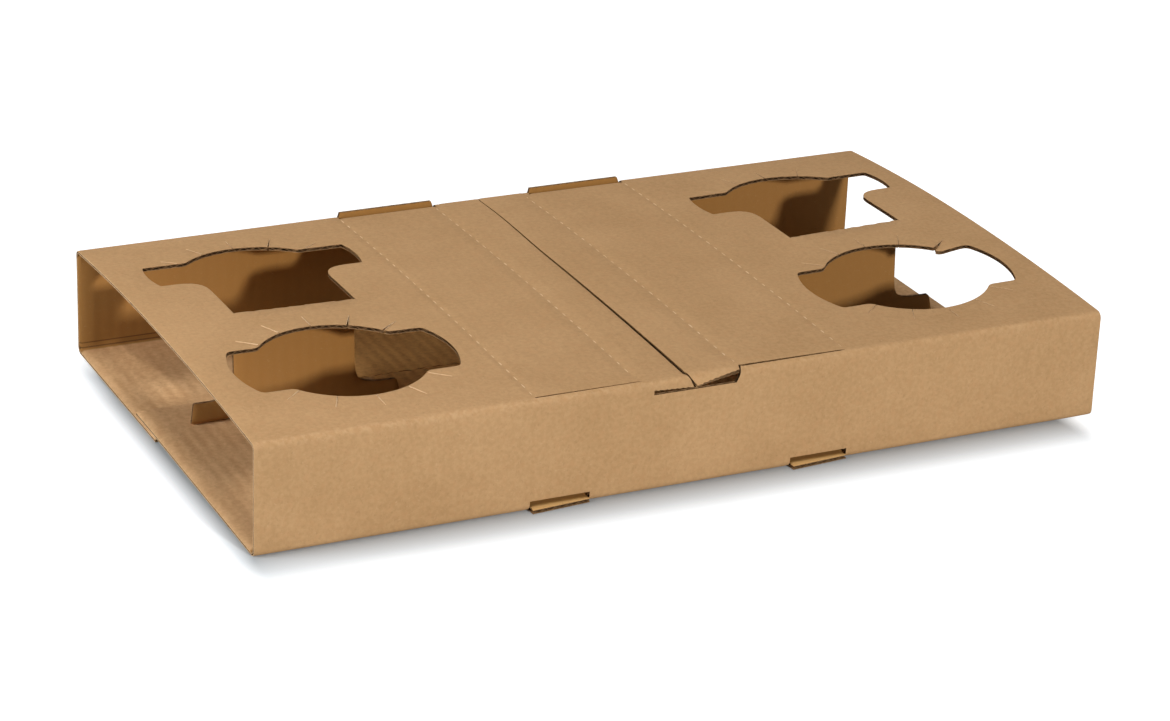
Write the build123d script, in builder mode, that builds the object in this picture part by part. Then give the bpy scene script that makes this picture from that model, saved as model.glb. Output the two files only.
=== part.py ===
from build123d import *
import os

# Sizes, in millimetres, worked out from the photograph and the pitch of the open flutes

# Board and sleeve
board_thickness = 2.6
inner_fold_radius = 1.0
carrier_length = 456.0
carrier_depth = 261.0
wall_height = 56.0
top_crown = 4.5

# Glued overlap of the two floor panels
lower_panel_edge_y = 8.0
upper_panel_edge_y = 37.0

# Cup openings in the front row
cup_spacing_x = 311.0
front_cup_y = -57.0
cup_radius = 42.0
lobe_radius = 55.5
lobe_band_width = 49.0
opening_corner_radius = 2.5

# Divider flaps cut out of the back row openings
flap_fold_y = 11.0
flap_neck_width = 64.0
flap_shift_x = 2.0
flap_lobe_start = 47.5
flap_lobe_length = 29.0
flap_neck_radius = 11.0

# Knife slits round the cup arcs
slit_length = 12.0
slit_width = 0.6
slit_count = 5
slit_fan_angle = 100.0

# Centre doors
door_hinge_x = 83.5
door_crease_x = 27.5
door_side_gap = 1.7
seam_width = 0.8
door_cut_width = 0.6
back_tab_rise = 1.7
tab_side_angle = 75.0

# Perforated creases
perforation_pitch = 6.4
perforation_length = 3.2
perforation_width = 0.5

# Locking lips in the wall notches
notch_top_width = 51.0
notch_bottom_width = 44.6
notch_depth = 5.9
lip_cut_width = 0.7
open_lip_overhang = 1.6

# Locking slots at the foot of the walls
slot_centre_x = 70.4
slot_width = 31.6
slot_height = 2.7
slot_tab_reach = 4.8

# Values that follow from the sizes above
mid_radius = inner_fold_radius + board_thickness / 2
outer_radius = inner_fold_radius + board_thickness
half_depth = carrier_depth / 2
front_fold_y = outer_radius - half_depth
mid_half_depth = half_depth - board_thickness / 2
mid_foot_z = 2.5 * board_thickness
flap_arc_centre = flap_lobe_start
flap_band_end = flap_lobe_start + flap_lobe_length
flap_arc_end = flap_arc_centre + cup_radius
flap_arc_half_chord = (cup_radius**2 - flap_lobe_length**2) ** 0.5
back_cup_y = flap_fold_y + flap_arc_centre
door_strip_width = door_hinge_x - door_crease_x
door_strip_x = (door_hinge_x + door_crease_x) / 2
door_edge_inset = board_thickness + door_side_gap
notch_floor_z = wall_height - notch_depth
cut_bottom_z = wall_height - outer_radius
perforation_count = int((carrier_depth - 2 * door_edge_inset) / perforation_pitch)
crown_z = wall_height + top_crown
above_top_z = crown_z + board_thickness
row_x = (-cup_spacing_x / 2, cup_spacing_x / 2)
flap_row_x = [x + flap_shift_x for x in row_x]

os.makedirs("parts", exist_ok=True)

# Outline of one front opening: a round cup hole with a lobe on each side for larger cups
with BuildSketch() as cup_opening:
    Circle(lobe_radius)
    Rectangle(2 * lobe_radius, lobe_band_width, mode=Mode.INTERSECT)
    Circle(cup_radius)
    fillet(cup_opening.vertices(), opening_corner_radius)

# Flat outline of one divider flap, measured from its fold: neck, lobes, then the cup arc
with BuildSketch() as flap_blank:
    with Locations((0, (flap_lobe_start + flap_band_end) / 2)):
        Circle(lobe_radius)
        Rectangle(2 * lobe_radius, flap_lobe_length, mode=Mode.INTERSECT)
    with BuildLine():
        arc_run = ThreePointArc(
            (-flap_arc_half_chord, flap_band_end),
            (0, flap_arc_end),
            (flap_arc_half_chord, flap_band_end),
        )
        Line(arc_run @ 1, arc_run @ 0)
    make_face()
    with Locations((0, flap_lobe_start / 2)):
        Rectangle(flap_neck_width, flap_lobe_start)
    lobe_start_corners = flap_blank.vertices().group_by(Axis.Y)[1].sort_by(Axis.X)
    fillet(lobe_start_corners[1:3], flap_neck_radius)

# One half of a wall notch, and the thin cut that parts a folded lip from its notch
with BuildSketch() as half_notch:
    with BuildLine():
        Polyline(
            (0, 0),
            (notch_bottom_width / 2, 0),
            (notch_top_width / 2, notch_depth),
            (notch_top_width / 2, notch_depth + board_thickness),
            (0, notch_depth + board_thickness),
            close=True,
        )
    make_face()
with BuildSketch() as lip_cut:
    add(half_notch.sketch)
    with Locations((-lip_cut_width, lip_cut_width)):
        add(half_notch.sketch, mode=Mode.SUBTRACT)

with BuildPart() as carrier_sheet:
    # Wrap of the board: the top is crowned to the line of the divider flaps' folds, and the front
    # floor panel ramps up over the back one
    with BuildSketch(Plane.YZ) as wrap_section:
        with BuildLine():
            front_crown = TangentArc(
                (flap_fold_y, crown_z), (-half_depth, wall_height), tangent=(-1, 0)
            )
            back_crown = TangentArc((flap_fold_y, crown_z), (half_depth, wall_height), tangent=(1, 0))
            Polyline(back_crown @ 1, (half_depth, 0), (-half_depth, 0), front_crown @ 1)
        make_face()
        fillet(wrap_section.vertices().sort_by(Axis.Y)[:-1], outer_radius)
        offset(amount=-board_thickness, mode=Mode.SUBTRACT)
        with BuildLine():
            Polyline(
                (front_fold_y, 0),
                (lower_panel_edge_y, 0),
                (lower_panel_edge_y, board_thickness),
                close=True,
            )
        make_face(mode=Mode.SUBTRACT)
        with BuildLine():
            Polyline(
                (front_fold_y, board_thickness),
                (lower_panel_edge_y, 2 * board_thickness),
                (upper_panel_edge_y, 2 * board_thickness),
                (upper_panel_edge_y, board_thickness),
                close=True,
            )
        make_face()
    extrude(amount=carrier_length / 2, both=True)

    # Openings of both cup rows, cut through the top panel only
    with BuildSketch(Plane.XY.offset(wall_height / 2)):
        with Locations(*[(x, front_cup_y) for x in row_x]):
            add(cup_opening.sketch)
        with Locations(*[(x, flap_fold_y) for x in flap_row_x]):
            add(flap_blank.sketch)
    extrude(amount=wall_height, mode=Mode.SUBTRACT)

    # Divider flaps: bend under the top panel, standing neck and lobes, bend into the glued foot
    top_bend = JernArc(
        (flap_fold_y, crown_z - board_thickness / 2), (1, 0), mid_radius, -90, mode=Mode.PRIVATE
    )
    flap_mid_y = (top_bend @ 1).X
    stand_top_z = (top_bend @ 1).Y
    stand_bottom_z = mid_foot_z + mid_radius
    foot_bend = JernArc(
        (flap_mid_y, stand_bottom_z), (0, -1), mid_radius, 90, mode=Mode.PRIVATE
    )
    bend_run = top_bend.length
    foot_start = bend_run + stand_top_z - stand_bottom_z
    foot_edge_y = (foot_bend @ 1).X
    for flap_x in flap_row_x:
        with BuildSketch(Plane.YZ.offset(flap_x)):
            with BuildLine():
                add(top_bend)
            trace(line_width=board_thickness)
        extrude(amount=flap_neck_width / 2, both=True)
        with BuildSketch(Plane.YZ.offset(flap_x)):
            with BuildLine():
                add(foot_bend)
            trace(line_width=board_thickness)
        extrude(amount=lobe_radius, both=True)
        stand_plane = Plane(
            origin=(flap_x, flap_mid_y, stand_top_z + bend_run), x_dir=(1, 0, 0), z_dir=(0, 1, 0)
        )
        with BuildSketch(stand_plane):
            add(flap_blank.sketch)
            with Locations((0, (bend_run + foot_start) / 2)):
                Rectangle(2 * lobe_radius, foot_start - bend_run, mode=Mode.INTERSECT)
        extrude(amount=board_thickness / 2, both=True)
        with BuildSketch(Plane.XY.offset(mid_foot_z)):
            with Locations((flap_x, foot_edge_y - foot_start)):
                add(flap_blank.sketch)
            with Locations((flap_x, foot_edge_y)):
                Rectangle(
                    2 * lobe_radius,
                    flap_arc_end,
                    align=(Align.CENTER, Align.MAX),
                    mode=Mode.SUBTRACT,
                )
        extrude(amount=board_thickness / 2, both=True)

    # Door strips: at the back wall the fold is cut away and a raw tab of the wall stands in the cut
    with Locations(*[(side * door_strip_x, half_depth, cut_bottom_z) for side in (-1, 1)]):
        Box(
            door_strip_width,
            2 * door_edge_inset,
            above_top_z - cut_bottom_z,
            align=(Align.CENTER, Align.CENTER, Align.MIN),
            mode=Mode.SUBTRACT,
        )
    with BuildSketch(Plane.XZ.offset(-mid_half_depth)):
        with Locations(*[(side * door_strip_x, cut_bottom_z) for side in (-1, 1)]):
            Trapezoid(
                door_strip_width,
                wall_height + back_tab_rise - cut_bottom_z,
                tab_side_angle,
                align=(Align.CENTER, Align.MIN),
            )
    extrude(amount=board_thickness / 2, both=True)

    # Door strips: at the front wall the fold stays on the wall, with only a thin cut behind it
    with Locations(*[(side * door_strip_x, front_fold_y, cut_bottom_z) for side in (-1, 1)]):
        Box(
            door_strip_width,
            door_cut_width,
            above_top_z - cut_bottom_z,
            align=(Align.CENTER, Align.MIN, Align.MIN),
            mode=Mode.SUBTRACT,
        )

    # Seam between the doors, cut through the top panel and its folds
    with Locations((0, 0, notch_floor_z)):
        Box(
            seam_width,
            carrier_depth,
            above_top_z - notch_floor_z,
            align=(Align.CENTER, Align.CENTER, Align.MIN),
            mode=Mode.SUBTRACT,
        )

    # Locking lips: three are folded down into their notches, with a thin cut left round each
    for lip_side, wall_side in ((-1, -1), (-1, 1), (1, 1)):
        with BuildSketch(Plane.XZ.offset(-wall_side * half_depth)):
            with Locations((0, notch_floor_z)):
                if lip_side > 0:
                    add(lip_cut.sketch)
                else:
                    add(lip_cut.sketch.mirror(Plane.YZ))
        extrude(amount=wall_side * door_edge_inset, mode=Mode.SUBTRACT)

    # The fourth lip stays in line with its door, straight out over its open notch
    with BuildSketch(Plane.XZ.offset(half_depth)):
        with Locations((0, notch_floor_z)):
            add(half_notch.sketch)
    extrude(amount=-door_edge_inset, mode=Mode.SUBTRACT)
    lip_root = (notch_top_width / 4, door_edge_inset - half_depth, wall_height)
    raw_edge = carrier_sheet.faces().filter_by(Axis.Y).sort_by_distance(lip_root)[0]
    extrude(raw_edge, amount=door_edge_inset + open_lip_overhang)

    # Locking slots at the foot of both walls, each left by a tab that stays in the floor's plane
    for wall_side in (-1, 1):
        slot_points = [(side * slot_centre_x, wall_side * half_depth) for side in (-1, 1)]
        with Locations(*slot_points):
            Box(
                slot_width,
                2 * outer_radius,
                board_thickness + slot_height,
                align=(Align.CENTER, Align.CENTER, Align.MIN),
                mode=Mode.SUBTRACT,
            )
        tab_points = [(x, y - wall_side * outer_radius) for x, y in slot_points]
        with Locations(*tab_points):
            Box(
                slot_width,
                outer_radius + slot_tab_reach,
                board_thickness,
                align=(Align.CENTER, Align.MAX if wall_side < 0 else Align.MIN, Align.MIN),
            )

    # Knife slits fanned round each cup arc, and the perforated creases of the doors
    with BuildSketch(Plane.XY.offset(wall_height / 2)):
        for fan_y, fan_middle in ((front_cup_y, 90), (front_cup_y, -90), (back_cup_y, 90)):
            for fan_x in flap_row_x if fan_y == back_cup_y else row_x:
                with Locations((fan_x, fan_y)):
                    with PolarLocations(
                        cup_radius + slit_length / 2,
                        slit_count,
                        start_angle=fan_middle - slit_fan_angle / 2,
                        angular_range=slit_fan_angle,
                        endpoint=True,
                    ):
                        Rectangle(slit_length + 2 * slit_width, slit_width)
        with Locations(*[(x, 0) for x in (-door_hinge_x, -door_crease_x, door_crease_x, door_hinge_x)]):
            with GridLocations(0, perforation_pitch, 1, perforation_count):
                Rectangle(perforation_width, perforation_length)
    extrude(amount=wall_height, mode=Mode.SUBTRACT)

carrier_sheet.part.label = "carrier_sheet"
export_step(carrier_sheet.part, "parts/carrier_sheet.step")
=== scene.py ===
import logging
import math
from dataclasses import dataclass, field, fields
from enum import Enum
from functools import reduce

import bpy
import numpy as np
from mathutils import Matrix, Vector, geometry, kdtree


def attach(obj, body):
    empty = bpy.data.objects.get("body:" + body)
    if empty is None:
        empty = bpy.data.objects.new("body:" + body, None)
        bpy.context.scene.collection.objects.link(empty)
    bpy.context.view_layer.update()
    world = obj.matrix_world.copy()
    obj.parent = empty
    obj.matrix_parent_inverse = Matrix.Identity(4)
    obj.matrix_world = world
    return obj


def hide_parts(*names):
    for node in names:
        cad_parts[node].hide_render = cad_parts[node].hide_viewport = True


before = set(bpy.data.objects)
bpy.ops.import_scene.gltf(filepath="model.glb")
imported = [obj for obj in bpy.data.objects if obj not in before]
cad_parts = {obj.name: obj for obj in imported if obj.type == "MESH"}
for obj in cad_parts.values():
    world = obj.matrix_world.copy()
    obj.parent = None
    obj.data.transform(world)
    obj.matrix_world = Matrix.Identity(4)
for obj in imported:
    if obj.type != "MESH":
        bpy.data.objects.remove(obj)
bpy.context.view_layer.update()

LOG = logging.getLogger("cup_carrier")
MM = 0.001
BODY = "root"
Points = np.ndarray
Pair = tuple[float, float]
Placed = tuple[np.ndarray, np.ndarray]
Colour = tuple[float, float, float, float]
Way = tuple[float, float, float]
SIDES = (-1, 1)
WHITE = (1, 1, 1, 1)


# Lines on the flat blank, in millimetres

TINY = 1e-6
SHORTEST = 1e-3
ARC_STEP = 1.6
EASED_POINTS = 7
SLIT_CLEARANCE = 0.15
TORN_STEP = 1.1
TORN_TURN = 2.4


def arc_points(centre: Pair, radius: float, start: float, end: float) -> Points:
    """Lays points along an arc.

    Args:
        centre: middle of the arc.
        radius: its radius.
        start: angle of the first point, in degrees.
        end: angle of the last point, in degrees.

    Returns:
        The points, about ARC_STEP apart.
    """
    count = max(3, int(abs(math.radians(end - start)) * radius / ARC_STEP) + 2)
    turn = np.radians(np.linspace(start, end, count))
    return np.c_[centre[0] + radius * np.cos(turn), centre[1] + radius * np.sin(turn)]


def trimmed(points: Points, front: float, back: float) -> Points:
    """Takes a length off both ends of a line.

    Args:
        points: the line.
        front: length taken off its start.
        back: length taken off its end.

    Returns:
        The shorter line.
    """
    at = np.r_[0, np.cumsum(np.hypot(*np.diff(points, axis=0).T))]
    last = at[-1] - back
    stops = np.r_[front, at[(at > front + TINY) & (at < last - TINY)], last]
    return np.c_[np.interp(stops, at, points[:, 0]), np.interp(stops, at, points[:, 1])]


def joined(runs: list[Points], easings: list[float]) -> Points:
    """Joins lines end to start and eases the corners between them.

    Args:
        runs: the lines, each ending where the next one starts.
        easings: how far back along both lines each corner is eased.

    Returns:
        One line.
    """
    out = []
    for i, run in enumerate(runs):
        before = easings[i - 1] if i > 0 else 0.0
        after = easings[i] if i < len(runs) - 1 else 0.0
        body = trimmed(run, before, after)
        out.append(body)
        if after:
            following = trimmed(runs[i + 1], after, 0)[0]
            t = np.linspace(0, 1, EASED_POINTS)[1:-1, None]
            out.append((1 - t) ** 2 * body[-1] + 2 * t * (1 - t) * run[-1] + t**2 * following)
    line = np.vstack(out)
    apart = np.r_[True, np.hypot(*np.diff(line, axis=0).T) > SHORTEST]
    return line[apart]


def direction(angle: float) -> np.ndarray:
    """Unit length in a direction given in degrees."""
    return np.array([math.cos(math.radians(angle)), math.sin(math.radians(angle))])


def with_slit(line: Points, centre: Pair, angle: float, reach: float, width: float) -> Points:
    """Cuts a knife slit into a line, as a thin notch that points away from a centre.

    Args:
        line: the edge that the slit starts from.
        centre: middle of the slits' fan.
        angle: direction of the slit, in degrees.
        reach: distance of its tip from the centre.
        width: width of its mouth.

    Returns:
        The line with the notch in it.
    """
    away = direction(angle)
    offset = line - np.array(centre)
    along = offset @ away
    across = offset[:, 0] * away[1] - offset[:, 1] * away[0]
    for i in range(len(line) - 1):
        near = min(along[i], along[i + 1]) > reach / 2
        if near and across[i] * across[i + 1] <= 0 and across[i] != across[i + 1]:
            share = across[i] / (across[i] - across[i + 1])
            mouth = line[i] + share * (line[i + 1] - line[i])
            way = (line[i + 1] - line[i]) / np.hypot(*(line[i + 1] - line[i]))
            clear = np.hypot(*(line - mouth).T) > width / 2 + SLIT_CLEARANCE
            notch = [mouth - way * width / 2, np.array(centre) + away * reach, mouth + way * width / 2]
            head = line[: i + 1][clear[: i + 1]]
            tail = line[i + 1 :][clear[i + 1 :]]
            return np.vstack([head, notch, tail])
    return line


def ragged(start: Pair, end: Pair, depth: float) -> list[Pair]:
    """Lays a torn line between two places.

    Args:
        start: where it starts.
        end: where it ends.
        depth: how far it strays along the blank.

    Returns:
        Its points, about TORN_STEP apart.
    """
    first, last = np.array(start), np.array(end)
    count = int(np.hypot(*(last - first)) / TORN_STEP)
    line = first + (last - first) * np.linspace(0, 1, count + 1)[:, None]
    line[1:-1, 1] += depth * np.sin(TORN_TURN * np.arange(1, count))
    return [tuple(point) for point in line]


def inside(points: Points, outline: Points) -> np.ndarray:
    """Tells which points lie inside a closed outline.

    Args:
        points: the points.
        outline: the corners of the outline, in order.

    Returns:
        One truth value a point.
    """
    found = np.zeros(len(points), bool)
    low, high = outline.min(0), outline.max(0)
    near = np.flatnonzero(((points > low) & (points < high)).all(1))
    if not len(near):
        return found
    x, y = points[near, 0, None], points[near, 1, None]
    a, b = outline, np.roll(outline, -1, axis=0)
    spans = (a[:, 1] > y) != (b[:, 1] > y)
    rise = np.where(a[:, 1] == b[:, 1], 1.0, b[:, 1] - a[:, 1])
    crossing = a[:, 0] + (y - a[:, 1]) * (b[:, 0] - a[:, 0]) / rise
    found[near] = (spans & (x < crossing)).sum(1) % 2 == 1
    return found


def refined(outline: Points, rows: Points, step: float) -> Points:
    """Adds points to a closed outline where it crosses rows, and along its long sides.

    Args:
        outline: the corners of the outline.
        rows: the places along the blank that need a point.
        step: the greatest distance between two points.

    Returns:
        The finer outline.
    """
    out = []
    for a, b in zip(outline, np.roll(outline, -1, axis=0)):
        stops = [0.0, 1.0]
        if abs(b[1] - a[1]) > TINY:
            hits = (rows - a[1]) / (b[1] - a[1])
            stops += list(hits[(hits > SHORTEST) & (hits < 1 - SHORTEST)])
        stops.sort()
        length = np.hypot(*(b - a))
        for first, second in zip(stops, stops[1:]):
            parts = max(1, math.ceil((second - first) * length / step - TINY))
            out += [a + (b - a) * (first + (second - first) * k / parts) for k in range(parts)]
    return np.array(out)


def smooth(t: np.ndarray | float) -> np.ndarray | float:
    """Eases a share from 0 to 1, flat at both ends."""
    t = np.clip(t, 0, 1)
    return t * t * (3 - 2 * t)


@dataclass(frozen=True)
class Fade:
    """A share that eases from 0 to 1 over a run, once a distance has passed its start."""

    start: float
    run: float

    def at(self, distance: np.ndarray) -> np.ndarray:
        """The share at a distance."""
        return smooth((distance - self.start) / self.run)


# Node trees


@dataclass(frozen=True)
class Grain:
    """A noise field, and the band of its values that is stretched over 0 to 1."""

    scale: float
    detail: float
    band: Pair = (0.0, 1.0)
    stretch: Way | None = None
    offset: Way = (0.0, 0.0, 0.0)


class TreeWork:
    """Lays out the nodes of one tree."""

    family = "ShaderNode"

    def __init__(self, tree: bpy.types.NodeTree) -> None:
        """Starts on a tree."""
        self.tree = tree

    def put(self, node: bpy.types.Node, name: str | int, value: object) -> None:
        """Fills one input of a node.

        Args:
            node: the node.
            name: the input's name or number.
            value: a socket to link, or a value to set.
        """
        if isinstance(value, bpy.types.NodeSocket):
            self.tree.links.new(value, node.inputs[name])
        else:
            node.inputs[name].default_value = value

    def add(self, kind: str, inputs: dict | None = None, **settings: object) -> bpy.types.Node:
        """Adds a node.

        Args:
            kind: the node's type, without its family's name at the start.
            inputs: sockets to link or values to set, by the input's name or number.
            settings: the node's own properties.

        Returns:
            The node.
        """
        full = kind if kind.startswith(("ShaderNode", "FunctionNode")) else self.family + kind
        node = self.tree.nodes.new(full)
        for name, value in settings.items():
            setattr(node, name, value)
        for name, value in (inputs or {}).items():
            self.put(node, name, value)
        return node

    def maths(self, operation: str, *values: object) -> bpy.types.NodeSocket:
        """Adds a Math node on sockets or numbers and returns its result."""
        return self.add("ShaderNodeMath", dict(enumerate(values)), operation=operation).outputs[0]

    def product(self, *values: object) -> bpy.types.NodeSocket:
        """Multiplies sockets or numbers, from left to right."""
        return reduce(lambda a, b: self.maths("MULTIPLY", a, b), values)

    def total(self, *values: object) -> bpy.types.NodeSocket:
        """Adds up sockets or numbers, from left to right."""
        return reduce(lambda a, b: self.maths("ADD", a, b), values)

    def seen_rays(self) -> bpy.types.NodeSocket:
        """Adds nodes that find the rays that show what they meet.

        Returns:
            1 for camera, gloss and glass rays, and 0 for the others.
        """
        path = self.add("LightPath").outputs
        kinds = [path[f"Is {kind} Ray"] for kind in ("Camera", "Glossy", "Transmission")]
        return reduce(lambda a, b: self.maths("MAXIMUM", a, b), kinds)


class GeometryWork(TreeWork):
    """Lays out one geometry node tree with named inputs, and applies it to an object."""

    family = "GeometryNode"

    def __init__(self, name: str) -> None:
        """Starts an empty tree with a geometry input and output."""
        super().__init__(bpy.data.node_groups.new(name, "GeometryNodeTree"))
        self.sizes: dict[str, float] = {}
        for way in ("INPUT", "OUTPUT"):
            self.tree.interface.new_socket("Geometry", in_out=way, socket_type="NodeSocketGeometry")
        self.first = self.tree.nodes.new("NodeGroupInput")
        self.last = self.tree.nodes.new("NodeGroupOutput")

    def size(self, name: str, value: float) -> bpy.types.NodeSocket:
        """Adds a named number to the tree's inputs.

        Args:
            name: its name.
            value: its value.

        Returns:
            The socket that gives it inside the tree.
        """
        made = self.tree.interface.new_socket(name, in_out="INPUT", socket_type="NodeSocketFloat")
        made.default_value = value
        self.sizes[made.identifier] = value
        return self.first.outputs[name]

    def attribute(self, name: str, kind: str = "FLOAT") -> bpy.types.NodeSocket:
        """Reads one of the object's own attributes."""
        return self.add("InputNamedAttribute", {"Name": name}, data_type=kind).outputs[0]

    def end(self, geometry_out: bpy.types.NodeSocket, finish: bpy.types.Material) -> None:
        """Ends the tree with real meshes and their material.

        Args:
            geometry_out: the geometry that the tree made.
            finish: its material.
        """
        real = self.add("RealizeInstances", {"Geometry": geometry_out})
        dressed = self.add("SetMaterial", {"Geometry": real.outputs[0], "Material": finish})
        self.put(self.last, 0, dressed.outputs[0])

    def apply(self, piece: bpy.types.Object, solid: float = 0.0) -> None:
        """Runs the tree on a piece and keeps the result as its plain mesh.

        Args:
            piece: the object.
            solid: thickness in metres that its faces get afterwards, or 0.
        """
        modifier = piece.modifiers.new(self.tree.name, "NODES")
        modifier.node_group = self.tree
        for identifier, value in self.sizes.items():
            modifier[identifier] = value
        if solid:
            thick = piece.modifiers.new("thickness", "SOLIDIFY")
            thick.thickness = solid
            thick.offset = 0
        bpy.context.view_layer.update()
        evaluated = piece.evaluated_get(bpy.context.evaluated_depsgraph_get())
        mesh = bpy.data.meshes.new_from_object(evaluated)
        piece.modifiers.clear()
        old, piece.data = piece.data, mesh
        bpy.data.meshes.remove(old)
        mesh.name = piece.name
        LOG.info("%s: %d faces", piece.name, len(mesh.polygons))


class ShaderWork(TreeWork):
    """Lays out one material's nodes around a Principled shader, in the object's coordinates."""

    noise_roughness = 0.55

    def __init__(self, name: str) -> None:
        """Starts a material with its output, its shader and its coordinates."""
        self.material = bpy.data.materials.new(name)
        self.material.use_nodes = True
        super().__init__(self.material.node_tree)
        self.tree.nodes.clear()
        self.surface = self.add("BsdfPrincipled")
        self.add("OutputMaterial", {0: self.surface.outputs[0]})
        self.place = self.add("TexCoord").outputs["Object"]
        self.x, self.y, self.z = self.add("SeparateXYZ", {0: self.place}).outputs

    def ramp(self, value: bpy.types.NodeSocket, band: Pair) -> bpy.types.NodeSocket:
        """Stretches a value so that the band's first end gives 0 and its second end gives 1."""
        inputs = {"Value": value, "From Min": band[0], "From Max": band[1]}
        return self.add("MapRange", inputs).outputs[0]

    def noise(self, grain: Grain) -> bpy.types.NodeSocket:
        """Adds a noise field.

        Args:
            grain: its sizes.

        Returns:
            Its plain values.
        """
        where = self.place
        if grain.stretch:
            mapping = {"Vector": where, "Scale": grain.stretch, "Location": grain.offset}
            where = self.add("Mapping", mapping).outputs[0]
        inputs = {"Vector": where, "Scale": grain.scale, "Detail": grain.detail}
        return self.add("TexNoise", inputs | {"Roughness": self.noise_roughness}).outputs[0]

    def grain(self, grain: Grain) -> bpy.types.NodeSocket:
        """Adds a noise field and stretches its band of values over 0 to 1."""
        return self.ramp(self.noise(grain), grain.band)

    def blend(self, share: object, a: object, b: object) -> bpy.types.NodeSocket:
        """Mixes two colours by a share."""
        return self.add("Mix", {0: share, 6: a, 7: b}, data_type="RGBA").outputs[2]

    def spotted(self, under: object, grain: Grain, strength: float, over: Colour) -> bpy.types.NodeSocket:
        """Lays spots of a colour over another one, where a noise field is high."""
        return self.blend(self.product(self.grain(grain), strength), under, over)

    def dress(self, values: dict) -> bpy.types.Material:
        """Fills the shader's inputs.

        Args:
            values: sockets to link or values to set, by the input's name.

        Returns:
            The finished material.
        """
        for name, value in values.items():
            self.put(self.surface, name, value)
        return self.material


# Finishes


@dataclass(frozen=True)
class Paper:
    """How matt a paper is, and how rough to the touch, with its relief in metres."""

    roughness: float
    specular: float
    bump: float
    relief: float

    def material(
        self, work: ShaderWork, colour: bpy.types.NodeSocket, height: bpy.types.NodeSocket
    ) -> bpy.types.Material:
        """Gives a material this surface.

        Args:
            work: the material's nodes.
            colour: its colour.
            height: its relief, as a share.

        Returns:
            The finished material.
        """
        bump = work.add("Bump", {"Height": height, "Strength": self.bump, "Distance": self.relief})
        values = {"Base Color": colour, "Roughness": self.roughness, "Specular IOR Level": self.specular}
        return work.dress(values | {"Normal": bump.outputs[0]})


@dataclass(frozen=True)
class InnerShade:
    """Painted shade inside the sleeve: darker browns on its floor, on what stands on it and along its scored
    lines; its tabs outside the walls get a paler orange.

    The bands are places in metres.
    """

    strength: float = 0.95
    middle_x: Pair = (0.165, 0.125)
    # Painted shade for the floor in the sleeve's middle, where little light reaches.
    floor: Colour = (0.66, 0.35, 0.110, 1)
    floor_dark: Colour = (0.43, 0.21, 0.058, 1)
    raised_z: Pair = (0.0055, 0.0066)
    foot_y: Pair = (0.1240, 0.1262)
    wall_y: Pair = (0.1305, 0.1285)
    # Painted shade for the flaps and walls that stand inside the sleeve.
    upright: Colour = (0.310, 0.143, 0.033, 1)
    # Dark painted shade along the scored lines at the walls' feet.
    score_z: float = 0.0044
    score_near: Pair = (0.0008, 0.0012)
    score_far: Pair = (0.0018, 0.0014)
    score_y: Pair = (0.1262, 0.1270)
    score_share: float = 0.8
    score: Colour = (0.09, 0.038, 0.010, 1)
    tab_y: Pair = (0.1300, 0.1312)
    # Paler, warmer orange for the tabs outside the walls, in place of the painted shade.
    tab: Colour = (0.75, 0.455, 0.178, 1)

    def over(
        self, work: ShaderWork, colour: bpy.types.NodeSocket, share: bpy.types.NodeSocket
    ) -> bpy.types.NodeSocket:
        """Lays the painted shade over a liner's colour.

        Args:
            work: the liner's nodes.
            colour: the liner's colour.
            share: its clouding, from dark to light.

        Returns:
            The colour with its painted shade.
        """
        aside = work.maths("ABSOLUTE", work.y)
        middle = work.ramp(work.maths("ABSOLUTE", work.x), self.middle_x)
        # Painted shade on the floor, strongest in the sleeve's middle.
        floor = work.blend(share, self.floor_dark, self.floor)
        colour = work.blend(work.product(middle, self.strength), colour, floor)
        # Painted shade on everything that stands inside the sleeve: flaps and the walls' inner faces.
        stands = work.maths("MAXIMUM", work.ramp(work.z, self.raised_z), work.ramp(aside, self.foot_y))
        upright = work.product(stands, work.ramp(aside, self.wall_y), self.strength)
        colour = work.blend(upright, colour, self.upright)
        # Painted shade along the scored lines at the walls' feet.
        apart = work.maths("ABSOLUTE", work.maths("SUBTRACT", work.z, self.score_z))
        bands = ((apart, self.score_near), (apart, self.score_far), (aside, self.score_y))
        score_shade_mask = work.product(*(work.ramp(value, band) for value, band in bands), self.score_share)
        colour = work.blend(score_shade_mask, colour, self.score)
        # The tabs outside the walls get a paler orange instead of the painted shade.
        return work.blend(work.ramp(aside, self.tab_y), colour, self.tab)


@dataclass(frozen=True)
class WearAndHighlight:
    """Scuffed paper and a painted highlight along the front wall's upper fold, most of it at the left.

    The bands are places in metres.
    """

    # Paler paper: scuffs, and a painted highlight on the rounded fold.
    colour: Colour = (0.66, 0.44, 0.25, 1)
    fold_y: Pair = (-0.1258, -0.1288)
    fold_z: Pair = (0.0535, 0.0571)
    left_x: Pair = (0.02, -0.11)
    left_share: float = 0.45
    right_share: float = 0.55
    torn: Grain = Grain(420, 5, (0.45, 0.62))
    strength: float = 0.36

    def shares(self, work: ShaderWork) -> tuple[bpy.types.NodeSocket, bpy.types.NodeSocket]:
        """Works out how torn a liner is, and where it takes the paler colour of scuffs and painted highlight.

        Args:
            work: the liner's nodes.

        Returns:
            The torn spots everywhere, and the share of the paler colour of scuffs and painted highlight.
        """
        fold = work.product(work.ramp(work.y, self.fold_y), work.ramp(work.z, self.fold_z))
        most_left = work.product(work.ramp(work.x, self.left_x), self.left_share)
        torn = work.grain(self.torn)
        worn_and_lit = work.product(fold, work.total(most_left, self.right_share), torn, self.strength)
        return torn, worn_and_lit


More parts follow.
